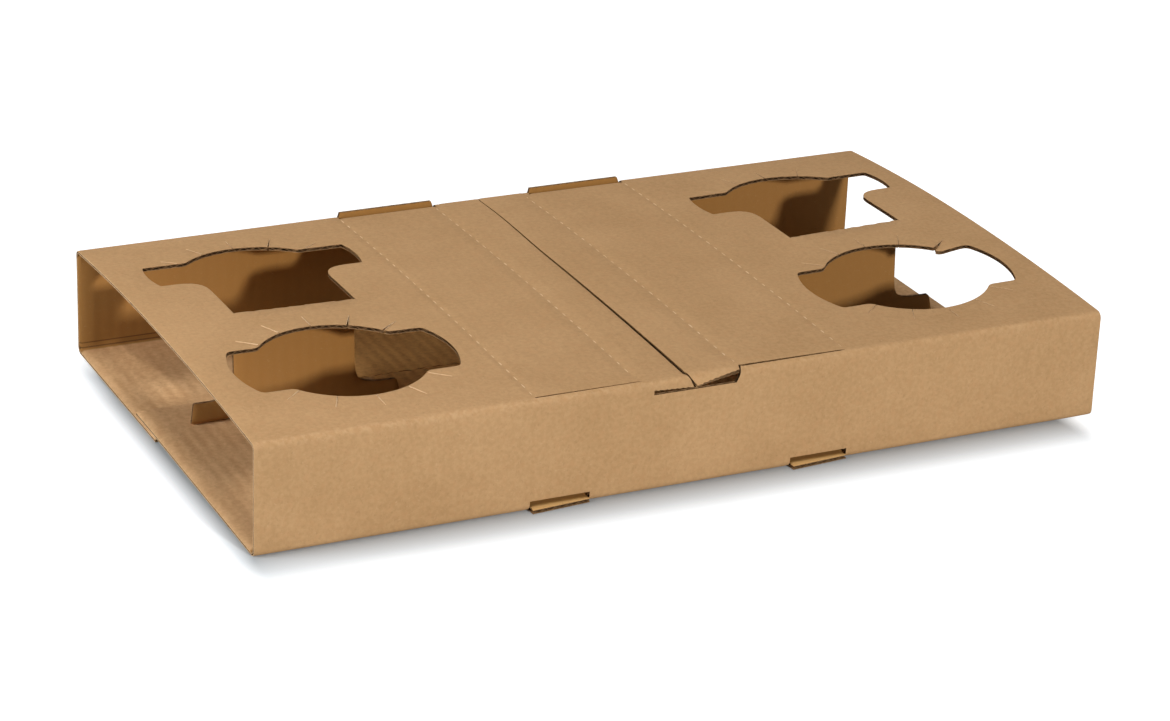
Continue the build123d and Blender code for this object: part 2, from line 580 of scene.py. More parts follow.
@dataclass(frozen=True)
class KraftLiner:
    """Matt brown kraft paper over corrugated flutes: specks, clouding, and faint flute lines of painted
    shade.
    """

    name: str = "kraft_liner"
    light: Colour = (0.552, 0.330, 0.157, 1)
    dark: Colour = (0.443, 0.256, 0.112, 1)
    warm: Colour = (0.52, 0.285, 0.128, 1)
    warm_share: float = 0.4
    speck: Colour = (0.24, 0.125, 0.052, 1)
    speck_share: float = 0.2
    fleck: Colour = (0.70, 0.47, 0.27, 1)
    fleck_share: float = 0.22
    flute_pitch: float = 0.0065
    flute_shade: float = 0.05
    flute_relief: float = 0.35
    fine_relief: float = 0.35
    cloud_share: float = 0.5
    clouds: Grain = Grain(26, 5, (0.32, 0.68))
    mottle: Grain = Grain(470, 2, (0.34, 0.66))
    patchy: Grain = Grain(55, 3, (0.35, 0.75))
    reddish: Grain = Grain(260, 2, (0.48, 0.70))
    specks: Grain = Grain(950, 3, (0.60, 0.72), (1.0, 0.35, 0.6))
    flecks: Grain = Grain(1500, 2, (0.64, 0.76), (0.4, 1.0, 0.7), (0.3, 0.1, 0.7))
    fine: Grain = Grain(1700, 3)
    wear: WearAndHighlight = WearAndHighlight()
    shade: InnerShade | None = None
    paper: Paper = Paper(0.86, 0.22, 0.35, 0.00016)

    def material(self) -> bpy.types.Material:
        """Builds the liner's material.

        Returns:
            The material.
        """
        work = ShaderWork(self.name)
        # Flute lines in the colour: painted washboard shade, beside the same wave as relief.
        wave = work.maths("SINE", work.product(work.x, 2 * math.pi / self.flute_pitch))
        flutes = work.product(wave, work.grain(self.patchy), self.flute_shade)
        clouds = work.product(work.grain(self.clouds), self.cloud_share)
        mottle = work.product(work.grain(self.mottle), 1 - self.cloud_share)
        share = work.total(clouds, mottle, flutes)
        colour = work.blend(share, self.dark, self.light)
        colour = work.spotted(colour, self.reddish, self.warm_share, self.warm)
        if self.shade:
            colour = self.shade.over(work, colour, share)
        colour = work.spotted(colour, self.specks, self.speck_share, self.speck)
        colour = work.spotted(colour, self.flecks, self.fleck_share, self.fleck)
        # Scuffs and a painted highlight along the front wall's upper fold.
        torn, worn_and_lit = self.wear.shares(work)
        colour = work.blend(worn_and_lit, colour, self.wear.colour)
        fine = work.product(work.noise(self.fine), self.fine_relief)
        height = work.total(fine, work.product(wave, self.flute_relief), work.product(torn, worn_and_lit))
        return self.paper.material(work, colour, height)


@dataclass(frozen=True)
class CutPaper:
    """Raw cut edges and the fluted middle paper: paler or darker, with loose fibres."""

    name: str
    light: Colour
    dark: Colour
    fibre_share: float = 0.65
    fibres: Grain = Grain(900, 4, (0.32, 0.68))
    clouds: Grain = Grain(120, 3, (0.3, 0.7))
    paper: Paper = Paper(0.93, 0.15, 0.4, 0.00012)

    def material(self) -> bpy.types.Material:
        """Builds the paper's material.

        Returns:
            The material.
        """
        work = ShaderWork(self.name)
        fibres = work.grain(self.fibres)
        clouds = work.product(work.grain(self.clouds), 1 - self.fibre_share)
        share = work.total(work.product(fibres, self.fibre_share), clouds)
        return self.paper.material(work, work.blend(share, self.dark, self.light), fibres)


INNER_LINER = KraftLiner(
    name="inner_liner",
    light=(0.70, 0.44, 0.225, 1),
    dark=(0.52, 0.30, 0.137, 1),
    fleck=(0.64, 0.41, 0.21, 1),
    flute_shade=0.45,
    fleck_share=0.1,
    shade=InnerShade(),
)


class Finish(Enum):
    """The carrier's finishes. All but the last are on the board, in the order of its materials."""

    LINER = KraftLiner()
    RAW = CutPaper("raw_liner", (0.42, 0.25, 0.12, 1), (0.3, 0.17, 0.075, 1))
    # Cut edges: dark brown, partly the raw edge's own tone, partly painted shade of the gap between the
    # liners.
    EDGE = CutPaper("cut_edge", (0.38, 0.22, 0.10, 1), (0.17, 0.09, 0.038, 1))
    INNER = INNER_LINER
    TORN = CutPaper("torn_fibres", (0.78, 0.56, 0.34, 1), (0.62, 0.41, 0.22, 1))
    # Fluting: darkened as painted shade of the gap between the liners.
    FLUTE = CutPaper("flute_paper", (0.27, 0.15, 0.065, 1), (0.11, 0.055, 0.022, 1))

    @property
    def number(self) -> int:
        """The finish's place among the board's materials."""
        return list(Finish).index(self)


# The folded sheet

SLACK = 0.01
RIM_SLACK = 1e-4
MERGE = 1e-5
LEAST_AREA = 1e-7


class Nearest:
    """Finds how far places on the blank lie from a set of points."""

    def __init__(self, points: Points) -> None:
        """Sorts the points."""
        self.tree = kdtree.KDTree(len(points))
        for i, (x, s) in enumerate(points):
            self.tree.insert((x, s, 0), i)
        self.tree.balance()

    def distances(self, places: Points) -> np.ndarray:
        """Distance from each place to the nearest of the points."""
        return np.array([self.tree.find((x, s, 0))[2] for x, s in places])


def lattice(columns: Points, rows: Points) -> Points:
    """Every crossing of some columns and rows."""
    x, s = np.meshgrid(columns, rows)
    return np.c_[x.ravel(), s.ravel()]


def mirrored(half: Points) -> Points:
    """Adds a line's mirror image in x to its end."""
    return np.vstack([half, (half[::-1] * (-1, 1))[1:]])


def open_sides(faces: np.ndarray) -> np.ndarray:
    """Finds the sides that only one triangle has.

    Args:
        faces: the triangles, as point numbers.

    Returns:
        The sides, as pairs of point numbers.
    """
    pairs = np.vstack([faces[:, [0, 1]], faces[:, [1, 2]], faces[:, [2, 0]]])
    keys = {(int(a), int(b)) for a, b in pairs}
    return np.array(sorted((a, b) for a, b in keys if (b, a) not in keys))


def new_object(name: str, points: Points, faces: list, edges: list | None = None) -> bpy.types.Object:
    """Makes a mesh object from points in millimetres.

    Args:
        name: the object's name.
        points: its points.
        faces: its faces, as lists of point numbers.
        edges: its loose edges, if any.

    Returns:
        The object, linked to the scene.
    """
    mesh = bpy.data.meshes.new(name)
    mesh.from_pydata((np.asarray(points) * MM).tolist(), edges or [], faces)
    mesh.update()
    made = bpy.data.objects.new(name, mesh)
    bpy.context.scene.collection.objects.link(made)
    return made


class Wall(Enum):
    """Which wall of the sleeve: its value is the sign of Y there."""

    FRONT = -1
    BACK = 1


@dataclass(frozen=True)
class Board:
    """Sizes of the corrugated board, in millimetres."""

    thickness: float = 2.6
    liner: float = 0.25
    bend_radius: float = 2.3
    flute_pitch: float = 6.5

    @property
    def half(self) -> float:
        """Half of the board's thickness."""
        return self.thickness / 2

    @property
    def bend(self) -> float:
        """Length of the board's middle along one square fold."""
        return self.bend_radius * math.pi / 2


@dataclass(frozen=True)
class Slit:
    """One knife slit: its angle in its fan, from the middle of the arc, and its mouth's width."""

    angle: float
    width: float = 0.28


FAN = (-50, -25, 0, 25, 50)
OPENED_SLITS = {
    (Wall.FRONT, -1): (Slit(-25, 0.9), Slit(-50, 1.0)),
    (Wall.FRONT, 1): (Slit(-50, 1.1),),
    (Wall.BACK, -1): (Slit(-25, 0.8),),
    (Wall.BACK, 1): (Slit(0, 0.7),),
}


@dataclass(frozen=True)
class Fineness:
    """How many rows and columns of points the blank gets, and its spacings in millimetres."""

    fold_rows: int = 7
    wall_rows: int = 8
    top_front_rows: int = 17
    top_back_rows: int = 15
    back_floor_rows: int = 12
    front_floor_rows: int = 13
    lap_rows: int = 4
    flap_rows: int = 7
    flap_foot: tuple[float, float, float] = (48.0, 57.0, 0.6)
    flap_end: tuple[float, float, int] = (57.5, 88, 5)
    columns: int = 53
    fold_columns: int = 229
    flap_columns: int = 15
    flap_half_width: float = 54
    flap_margin: float = 1.0
    crease_clear: float = 2.5
    rim_step: float = 9.0
    cut_step: float = 2.0
    ring_step: float = 1.1
    ring_clear: float = 0.9


@dataclass
class Profile:
    """Where points lie across the sleeve, and which way the board's outer face looks there.

    out is the distance outwards from the sleeve's middle and z the height. face_out and face_up
    are the outer face's direction.
    """

    out: np.ndarray
    z: np.ndarray
    face_out: np.ndarray
    face_up: np.ndarray

    def move(self, held: np.ndarray, *values: np.ndarray | float) -> None:
        """Moves some of the points.

        Args:
            held: which points it moves.
            values: their new places and directions, in the order of the fields.
        """
        for entry, value in zip(fields(self), values):
            setattr(self, entry.name, np.where(held, value, getattr(self, entry.name)))


@dataclass
class Blank:
    """The whole carrier as one flat blank with every cut in it. Sizes are in millimetres.

    A place on the blank is (x, s). On the top panel s is Y. It grows down the back wall and under
    the floor, and falls down the front wall and under the floor.
    """

    board: Board = Board()
    half_length: float = 228.0
    half_depth: float = 130.5
    height: float = 57.5
    lower_edge: float = 8.0
    upper_edge: float = 37.0
    cup_x: float = 155.5
    cup_y: float = -57.0
    cup_radius: float = 42.0
    lobe_radius: float = 55.5
    lobe_band: float = 24.5
    easing: float = 2.5
    flap_y: float = 11.0
    flap_shift: float = 2.1
    neck: float = 32.2
    lobe_start: float = 47.5
    lobe_end: float = 76.5
    neck_easing: float = 13.0
    lobe_easings: tuple[float, float, float] = (1.2, 1.2, 1.5)
    kerf: float = 0.25
    slit_reach: float = 12.0
    hinge_x: float = 83.5
    crease_x: float = 27.5
    front_door_edge: float = 126.1
    door_cut: float = 0.95
    door_cut_start: float = 0.5
    back_door_edge: float = 124.95
    back_tab: float = 5.3
    tab_angle: float = 72.0
    notch_top: float = 25.5
    notch_foot: float = 22.3
    notch_depth: float = 6.9
    left_gap: float = 2.3
    seam_gap: float = 1.2
    lip_kerf: float = 0.3
    lip_short: float = 0.5
    open_lip: float = 3.4
    open_lip_seam: float = 6.3
    open_lip_gap: float = 0.7
    open_lip_root: float = 0.8
    seam: float = 0.4
    seam_back: float = 0.14
    torn: float = 0.26
    slot_x: float = 70.4
    slot_half: float = 15.8
    slot_cut: float = 5.3

    def __post_init__(self) -> None:
        """Works out where the folds lie on the blank."""
        b = self.board
        self.top_end = self.half_depth - b.half - b.bend_radius
        self.wall_start = self.top_end + b.bend
        self.wall_run = self.height - 2 * (b.half + b.bend_radius)
        self.wall_end = self.wall_start + self.wall_run
        self.floor_start = self.wall_end + b.bend
        self.back_end = self.floor_start + self.top_end - self.lower_edge
        self.ramp = self.top_end + self.lower_edge
        self.front_end = -(self.floor_start + self.top_end + self.upper_edge)
        self.notch_s = self.wall_start + (self.notch_depth - b.bend_radius - b.half)
        self.notch_slant = (self.notch_top - self.notch_foot) / (self.notch_s - self.top_end)
        self.slot_top = self.wall_end - (self.slot_cut - b.half - b.bend_radius)

    def cup_half(self) -> Points:
        """Right half of a front opening's outline, about its own middle.

        Returns:
            The line, from bottom to top.
        """
        cup = math.degrees(math.asin(self.lobe_band / self.cup_radius))
        lobe = math.degrees(math.asin(self.lobe_band / self.lobe_radius))
        cup_corner = self.cup_radius * math.cos(math.radians(cup))
        lobe_corner = self.lobe_radius * math.cos(math.radians(lobe))
        band = self.lobe_band
        runs = [
            arc_points((0, 0), self.cup_radius, -90, -cup),
            np.array([(cup_corner, -band), (lobe_corner, -band)]),
            arc_points((0, 0), self.lobe_radius, -lobe, lobe),
            np.array([(lobe_corner, band), (cup_corner, band)]),
            arc_points((0, 0), self.cup_radius, cup, 90),
        ]
        return joined(runs, [self.easing] * 4)

    def flap_half(self, grow: float) -> Points:
        """Right half of a divider flap's outline, from its fold to the tip of its cup arc.

        Args:
            grow: how much wider than the opening it is, all round.

        Returns:
            The line, with the middle of the fold as its origin.
        """
        start, end = self.lobe_start - grow, self.lobe_end + grow
        lobe, cup = self.lobe_radius + grow, self.cup_radius + grow
        mid = (self.lobe_start + self.lobe_end) / 2
        first = math.degrees(math.asin((start - mid) / lobe))
        last = math.degrees(math.asin((end - mid) / lobe))
        turn = math.degrees(math.asin((end - self.lobe_start) / cup))
        lobe_arc = arc_points((0, mid), lobe, first, last)
        cup_arc = arc_points((0, self.lobe_start), cup, turn, 90)
        neck = self.neck + grow
        runs = [
            np.array([(neck, 0), (neck, start)]),
            np.array([(neck, start), lobe_arc[0]]),
            lobe_arc,
            np.array([lobe_arc[-1], cup_arc[0]]),
            cup_arc,
        ]
        return joined(runs, [self.neck_easing + grow, *self.lobe_easings])

    def fan_centre(self, wall: Wall, side: int) -> Pair:
        """Middle of the fan of slits of one opening.

        Args:
            wall: the wall that the opening is near.
            side: -1 for its left opening and 1 for its right one.

        Returns:
            The middle of its cup on the blank.
        """
        if wall is Wall.FRONT:
            return side * self.cup_x, self.cup_y
        return side * self.cup_x + self.flap_shift, self.flap_y + self.lobe_start

    def slit_list(self) -> list[tuple[Pair, float, float]]:
        """Lists every knife slit of the sheet.

        Returns:
            For each slit the middle of its fan, its direction and its width.
        """
        found: dict[tuple[Pair, float], float] = {}
        for side in SIDES:
            for wall in Wall:
                middles = (90, -90) if wall is Wall.FRONT else (90,)
                slits = [(middle, Slit(turn)) for middle in middles for turn in FAN]
                slits += [(90, slit) for slit in OPENED_SLITS[wall, side]]
                for middle, slit in slits:
                    found[self.fan_centre(wall, side), middle + slit.angle] = slit.width
        return [(centre, angle, width) for (centre, angle), width in found.items()]

    def slitted(self, line: Points, centre: Pair) -> Points:
        """Cuts slits into a line.

        Args:
            line: the edge of an opening.
            centre: the middle of the slits' fan.

        Returns:
            The line with every slit of that fan in it.
        """
        for middle, angle, width in self.slit_list():
            if middle == centre:
                line = with_slit(line, centre, angle, self.cup_radius + self.slit_reach, width)
        return line

    def front_opening(self, side: int, slits: bool) -> Points:
        """Cuts a front opening.

        Args:
            side: -1 for the left one and 1 for the right one.
            slits: whether it has its knife slits.

        Returns:
            Its closed outline on the blank.
        """
        centre = self.fan_centre(Wall.FRONT, side)
        line = mirrored(self.cup_half())[:-1] + centre
        return self.slitted(line, centre) if slits else line

    def back_opening(self, side: int, slits: bool) -> Points:
        """Cuts round a divider flap.

        Args:
            side: -1 for the left one and 1 for the right one.
            slits: whether it has its knife slits.

        Returns:
            The closed line, out along the opening and back along the flap.
        """
        outer, inner = self.flap_outline(side, 0), self.flap_outline(side, -self.kerf)
        if slits:
            outer = self.slitted(outer, self.fan_centre(Wall.BACK, side))
        return np.vstack([outer, inner[::-1]])

    def flap_outline(self, side: int, grow: float) -> Points:
        """Closed outline of a divider flap on the blank, wider by a length all round."""
        return mirrored(self.flap_half(grow)) + (side * self.cup_x + self.flap_shift, self.flap_y)

    def door_void(self, wall: Wall, side: int) -> Points:
        """Cut along a door strip's end: thin at the front, round the wall's raw tab at the back.

        Args:
            wall: the wall that it is beside.
            side: -1 for the left door and 1 for the right one.

        Returns:
            Its closed outline on the blank.
        """
        if wall is Wall.FRONT:
            edge, far = self.front_door_edge, self.front_door_edge + self.door_cut
            first = self.notch_top - self.door_cut_start if side > 0 else self.crease_x
            corners = [(first, edge), (self.hinge_x, edge), (self.hinge_x, far), (first, far)]
        else:
            edge, foot, tall = self.back_door_edge, self.wall_start, self.back_tab
            slope = tall / math.tan(math.radians(self.tab_angle))
            corners = [
                (self.crease_x, foot),
                (self.crease_x + slope, foot - tall),
                (self.hinge_x - slope, foot - tall),
                (self.hinge_x, foot),
                (self.hinge_x, edge),
                (self.crease_x, edge),
            ]
        return np.array(corners) * (side, wall.value)

    def seam_void(self) -> Points:
        """Cut between the doors, with the notches that their lips lock into at both ends.

        Returns:
            Its closed outline on the blank.
        """
        end, foot, kerf = self.top_end, self.notch_s, self.lip_kerf
        top, low, folded = self.notch_top, self.notch_foot, self.notch_s - self.lip_short
        side = top - self.open_lip_gap
        lip_corner = (side - self.notch_slant * self.open_lip, -end - self.open_lip)
        line = [(top, -end), (low, -foot), (-low, -foot)]
        line += ragged((-low, self.left_gap - foot), (-self.seam, self.seam_gap - foot), self.torn)
        line += [(-self.seam_back, folded), (kerf - low, folded), (kerf - top, end), (-top, end)]
        line += [(-low, foot), (low, foot), (top, end), (top - kerf, end), (low - kerf, folded)]
        line += [(self.seam_back, folded)]
        line += ragged((self.seam, -end - self.open_lip_seam), lip_corner, self.torn)
        line += [(side, self.open_lip_root - end)]
        return np.array(line)

    def slot_void(self, wall: Wall, side: int) -> Points:
        """Cut on three sides of a tab that stays in the floor's plane at the foot of a wall.

        Args:
            wall: the wall.
            side: -1 for its left tab and 1 for its right one.

        Returns:
            Its closed outline on the blank.
        """
        foot, top, kerf = self.floor_start, self.slot_top, self.kerf
        left, right = self.slot_x - self.slot_half, self.slot_x + self.slot_half
        corners = [(left, foot), (left, top), (right, top), (right, foot)]
        corners += [(right - kerf, foot), (right - kerf, top + kerf)]
        corners += [(left + kerf, top + kerf), (left + kerf, foot)]
        return np.array(corners) * (side, wall.value)

    def voids(self, slits: bool = True) -> list[Points]:
        """Lists every cut in the blank.

        Args:
            slits: whether the openings have their knife slits.

        Returns:
            The closed outlines.
        """
        found = [self.seam_void()]
        for side in SIDES:
            found += [self.front_opening(side, slits), self.back_opening(side, slits)]
        for wall in Wall:
            for side in SIDES:
                found += [self.door_void(wall, side), self.slot_void(wall, side)]
        return found

    def rim(self) -> Points:
        """Outline of the blank."""
        x = self.half_length
        return np.array([(-x, self.front_end), (x, self.front_end), (x, self.back_end), (-x, self.back_end)])


@dataclass
class FoldedSheet(Blank):
    """The map that folds the blank. Sizes are in millimetres and angles in degrees."""

    crown_left: float = 4.4
    crown_middle: float = 2.2
    crown_right: float = 4.6
    left_door_lift: float = -0.35
    right_door_lift: float = 0.95
    door_lift_middle: float = 0.6
    door_lift_front: float = 0.4
    door_fade: Fade = Fade(-6.6, 12)
    hinge_press: float = 0.22
    crease_press: float = 0.28
    lip_fade: Fade = Fade(0, 3)
    past_edge: float = 0.1
    edge_fade: Fade = Fade(0, 12)
    cup_fade: Fade = Fade(1, 12)
    bulge_in: float = 0.15
    wave: float = 0.22
    wave_runs: tuple[float, float, float, float] = (31, 47, 53, 29)
    wave_phase: float = 1.3
    wave_fade: Fade = Fade(-12, 30)
    lean_front: float = -2.4
    lean_back: float = -1.2
    seam_drift: float = -4.4
    left_crease_drift: float = -1.5
    right_crease_drift: float = -3.9
    seam_band: float = 20
    seam_back_fade: Fade = Fade(30, 80)
    seam_back_share: float = 0.5
    drift_fade: Fade = Fade(120, 6)
    lip_drift: float = 125.5
    lip_drift_run: float = 8
    left_tip_drift: float = 1.2
    left_tip_fade: Fade = Fade(32, 20)
    left_door_fade: Fade = Fade(0, 14)
    right_tip_drift: float = 2.1
    right_tip_fade: Fade = Fade(0, 50)
    right_end_fade: Fade = Fade(0, 15)
    slot_clear: float = 0.12
    slot_tab: float = 7.0
    slot_taper: float = 0.38
    tab_inset: float = 0.6
    tab_over: float = 0.02
    lip_droop_seam: float = 48.0
    lip_droop_side: float = 3.0
    lip_droop_power: float = 0.8
    lip_droop_fade: Fade = Fade(-1.05, 3)
    lip_clear: tuple[float, float, float] = (0.1, 0.3, 0.35)
    tab_droop: float = 1.6
    tab_droop_power: float = 1.3
    tab_slack: float = 0.3
    flap_lean: float = 3.0
    foot_layers: float = 2.5
    foot_bend_radius: float = 1.4
    foot_sag: float = 1.2
    sag_fade: Fade = Fade(0, 30)
    bulge: float = 0.9
    bulge_wave: float = 0.5
    bulge_run: float = 19
    bulge_top: Fade = Fade(0, 14)
    bulge_foot: Fade = Fade(0, 10)
    lobe_rise: float = 1.8
    rise_side: Fade = Fade(-1, 9)
    rise_fade: Fade = Fade(38, 8)
    lobe_pull: float = 6.0
    pull_run: float = 14
    pull_side: Fade = Fade(45, 8)

    def crown(self, x: np.ndarray) -> np.ndarray:
        """How far the top panel's ridge rises above its edges.

        Args:
            x: places across the blank.

        Returns:
            The rise at each.
        """
        out = (np.abs(x) - self.hinge_x) / (self.half_length - self.hinge_x)
        rise = np.where(x < 0, self.crown_left, self.crown_right) - self.crown_middle
        return self.crown_middle + rise * smooth(out)

    def top_z(self, flat: Points) -> np.ndarray:
        """Height of the board's middle on the top panel.

        Args:
            flat: places on the top panel.

        Returns:
            The height at each.
        """
        x, y = flat.T
        reach = np.where(y < self.flap_y, self.top_end + self.flap_y, self.top_end - self.flap_y)
        arch = np.clip(1 - ((y - self.flap_y) / reach) ** 2, 0, 1)
        z = self.height - self.board.half + self.crown(x) * arch
        return z + self.door_lift(flat) - self.corner_drop(flat)

    def door_lift(self, flat: Points) -> np.ndarray:
        """How far the doors stand above the top panel's line.

        Args:
            flat: places on the top panel.

        Returns:
            The lift at each, less where a crease is pressed in.
        """
        x, y = flat.T
        door = np.clip(1 - np.abs(x) / self.hinge_x, 0, 1)
        lift = np.where(x > 0, self.right_door_lift, self.left_door_lift) * door
        lift = lift * self.door_fade.at(self.top_end - np.abs(y))
        lift = lift * (self.door_lift_middle - self.door_lift_front * y / self.top_end)
        for crease, depth in ((self.hinge_x, self.hinge_press), (self.crease_x, self.crease_press)):
            lift -= depth * np.clip(1 - np.abs(np.abs(x) - crease), 0, 1)
        return lift

    def corner_drop(self, flat: Points) -> np.ndarray:
        """How far the bent corner beside the open slit of the right front opening hangs.

        Args:
            flat: places on the top panel.

        Returns:
            The drop at each, 0 away from that corner.
        """
        away = direction(90 + OPENED_SLITS[Wall.FRONT, 1][0].angle)
        band = self.lobe_band
        tip = away * (self.cup_radius + self.slit_reach)
        lobe = np.array([math.sqrt(self.lobe_radius**2 - band**2) - self.easing, band])
        corner = np.array([math.sqrt(self.cup_radius**2 - band**2), band])
        local = flat - self.fan_centre(Wall.FRONT, 1)
        hinge = (tip - lobe) / np.hypot(*(tip - lobe))
        normal = np.array([-hinge[1], hinge[0]])
        share = (local - lobe) @ normal / ((corner - lobe) @ normal)
        beside = local[:, 0] * away[1] - local[:, 1] * away[0] > 0
        held = beside & (local[:, 1] >= band - self.tab_slack) & (share > 0) & (local[:, 0] > 0)
        return np.where(held, self.tab_droop * np.clip(share, 0, 1) ** self.tab_droop_power, 0)

    def warp(self, x: np.ndarray, s: np.ndarray) -> np.ndarray:
        """Slight waves of hand-folded board.

        Args:
            x: places across the blank.
            s: places along it.

        Returns:
            How far each moves in the direction of the outer face.
        """
        a, b, c, d = self.wave_runs
        wave = np.sin(x / a + s / b) * np.sin(x / c - s / d + self.wave_phase)
        return self.wave * wave * self.wave_fade.at(self.half_length - np.abs(x))

    def drift(self, x: np.ndarray, s: np.ndarray) -> np.ndarray:
        """How far the doors' lines and the cups' right tips lie from their even places.

        Args:
            x: places across the blank.
            s: places along it.

        Returns:
            The distance to the right at each.
        """
        seam, run = smooth(1 - np.abs(x) / self.seam_band), np.abs(s)
        lines = (-self.hinge_x, -self.crease_x, 0, self.crease_x, self.hinge_x)
        doors = np.interp(x, lines, (0, self.left_crease_drift, self.seam_drift, self.right_crease_drift, 0))
        doors = doors * (1 - self.seam_back_share * seam * self.seam_back_fade.at(s))
        beside = self.drift_fade.at(run)
        along_lip = np.clip((run - self.lip_drift) / self.lip_drift_run, 0, 1)
        doors = doors * (1 - beside + seam * (beside - along_lip))
        left = self.left_tip_fade.at(x + self.cup_x) * self.left_door_fade.at(-self.hinge_x - x)
        right = self.right_tip_fade.at(x - self.cup_x) * self.right_end_fade.at(self.half_length - x)
        tips = self.left_tip_drift * left + self.right_tip_drift * right
        return doors + tips * self.edge_fade.at(self.top_end - run)

    def leant(self, x: np.ndarray, s: np.ndarray) -> np.ndarray:
        """Moves points along the carrier by the doors' lean and drift.

        Args:
            x: places across the blank.
            s: places along it.

        Returns:
            The x of each, folded.
        """
        to_front = np.clip(0.5 - s / (2 * self.top_end), 0, 1)
        lean = self.lean_back + (self.lean_front - self.lean_back) * to_front
        return x + lean * self.cup_fade.at(self.cup_x - self.lobe_radius - np.abs(x)) + self.drift(x, s)

    def edge_z(self, x: np.ndarray, s: np.ndarray) -> np.ndarray:
        """Height that each point folds down from.

        Args:
            x: places across the blank.
            s: places along it.

        Returns:
            The height of the top panel's edge over each, without the doors' lift past the panel.
        """
        on_top, run = np.c_[x, np.clip(s, -self.top_end, self.top_end)], np.abs(s)
        lip = (x > -self.crease_x) & (x < np.where(s < 0, self.notch_top, self.crease_x))
        on_wall = run > self.front_door_edge + self.past_edge
        past = np.where(lip, self.lip_fade.at(run - self.top_end), on_wall)
        return self.top_z(on_top) - self.door_lift(on_top) * past

    def place(self, flat: Points) -> Placed:
        """Folds points of the blank.

        Args:
            flat: places on the blank.

        Returns:
            The points on the middle of the board, and the directions of its outer face there.
        """
        b = self.board
        x, s = flat.T
        side, run = np.where(s < 0, -1.0, 1.0), np.abs(s)
        first = np.clip((run - self.top_end) / b.bend_radius, 0, math.pi / 2)
        second = np.clip((run - self.wall_end) / b.bend_radius, 0, math.pi / 2)
        wall = np.clip(run - self.wall_start, 0, self.wall_run)
        floor = np.clip(run - self.floor_start, 0, None)
        out = np.minimum(run, self.top_end) + b.bend_radius * (np.sin(first) - 1 + np.cos(second)) - floor
        held = self.edge_fade.at(run - self.wall_start) * self.edge_fade.at(self.wall_end - run)
        out = out + (self.warp(x, s) - self.bulge_in) * held
        z = self.edge_z(x, s) - b.bend_radius * (1 - np.cos(first) + np.sin(second)) - wall
        z += np.where(side < 0, b.thickness * np.clip(floor / self.ramp, 0, 1), 0)
        profile = Profile(out, z, np.sin(first + second), np.cos(first + second))
        self.place_tabs(flat, profile)
        self.place_slots(flat, profile)
        self.place_lip(flat, profile)
        points = np.c_[self.leant(x, s), side * profile.out, profile.z]
        normals = np.c_[np.zeros_like(x), side * profile.face_out, profile.face_up]
        for way in SIDES:
            on_flap = inside(flat, self.flap_outline(way, -self.kerf / 2))
            points[on_flap], normals[on_flap] = self.place_flap(flat[on_flap])
        return points, normals

    def place_tabs(self, flat: Points, profile: Profile) -> None:
        """Stands the back wall's raw edges up in the doors' cuts.

        Args:
            flat: places on the blank.
            profile: where they lie, which this changes.
        """
        x, s = np.abs(flat[:, 0]), flat[:, 1]
        up = self.wall_start - np.abs(s)
        slope = self.tab_inset * np.maximum(up, 0) / math.tan(math.radians(self.tab_angle))
        tab = (s > 0) & (up > SHORTEST) & (up < self.back_tab + self.tab_over)
        tab &= (x > self.crease_x + slope) & (x < self.hinge_x - slope)
        wall_z = self.height - self.board.half - self.board.bend_radius
        profile.move(tab, self.top_end + self.board.bend_radius, wall_z + up, 1.0, 0.0)

    def place_slots(self, flat: Points, profile: Profile) -> None:
        """Leaves the slots' tabs in the floor's plane, narrower to the right at the front.

        Args:
            flat: places on the blank.
            profile: where they lie, which this changes.
        """
        x, s = flat.T
        run, clear = np.abs(s), self.slot_clear
        slot = (np.abs(np.abs(x) - self.slot_x) < self.slot_half - clear) & (run > self.slot_top + clear)
        slot &= run < self.floor_start
        reach = (self.floor_start - run) * self.slot_tab / (self.floor_start - self.slot_top - 2 * clear)
        share = (x - np.sign(x) * self.slot_x) / self.slot_half
        reach = reach * (1 - self.slot_taper * np.where(s < 0, np.clip(share + 1, 0, 2) / 2, 0))
        profile.move(slot, self.top_end + reach, self.board.half, 0.0, -1.0)

    def place_lip(self, flat: Points, profile: Profile) -> None:
        """Leaves the front right lip straight out from its door, drooping most at the seam.

        Args:
            flat: places on the blank.
            profile: where they lie, which this changes.
        """
        x, s = flat.T
        length = -self.top_end - s
        at_seam, at_end, at_side = self.lip_clear
        lip = (x > self.seam - at_seam) & (length > SHORTEST) & (length < self.open_lip_seam + at_end)
        lip &= x < self.notch_top - at_side - self.notch_slant * length
        share = np.clip((x - self.seam) / (self.notch_top - self.seam), 0, 1) ** self.lip_droop_power
        droop = self.lip_droop_seam + (self.lip_droop_side - self.lip_droop_seam) * share
        droop = np.radians(droop) * self.lip_droop_fade.at(length)
        root = self.top_z(np.c_[x, np.full_like(x, -self.top_end)])
        out, z = self.top_end + length * np.cos(droop), root - length * np.sin(droop)
        profile.move(lip, out, z, np.sin(droop), np.cos(droop))

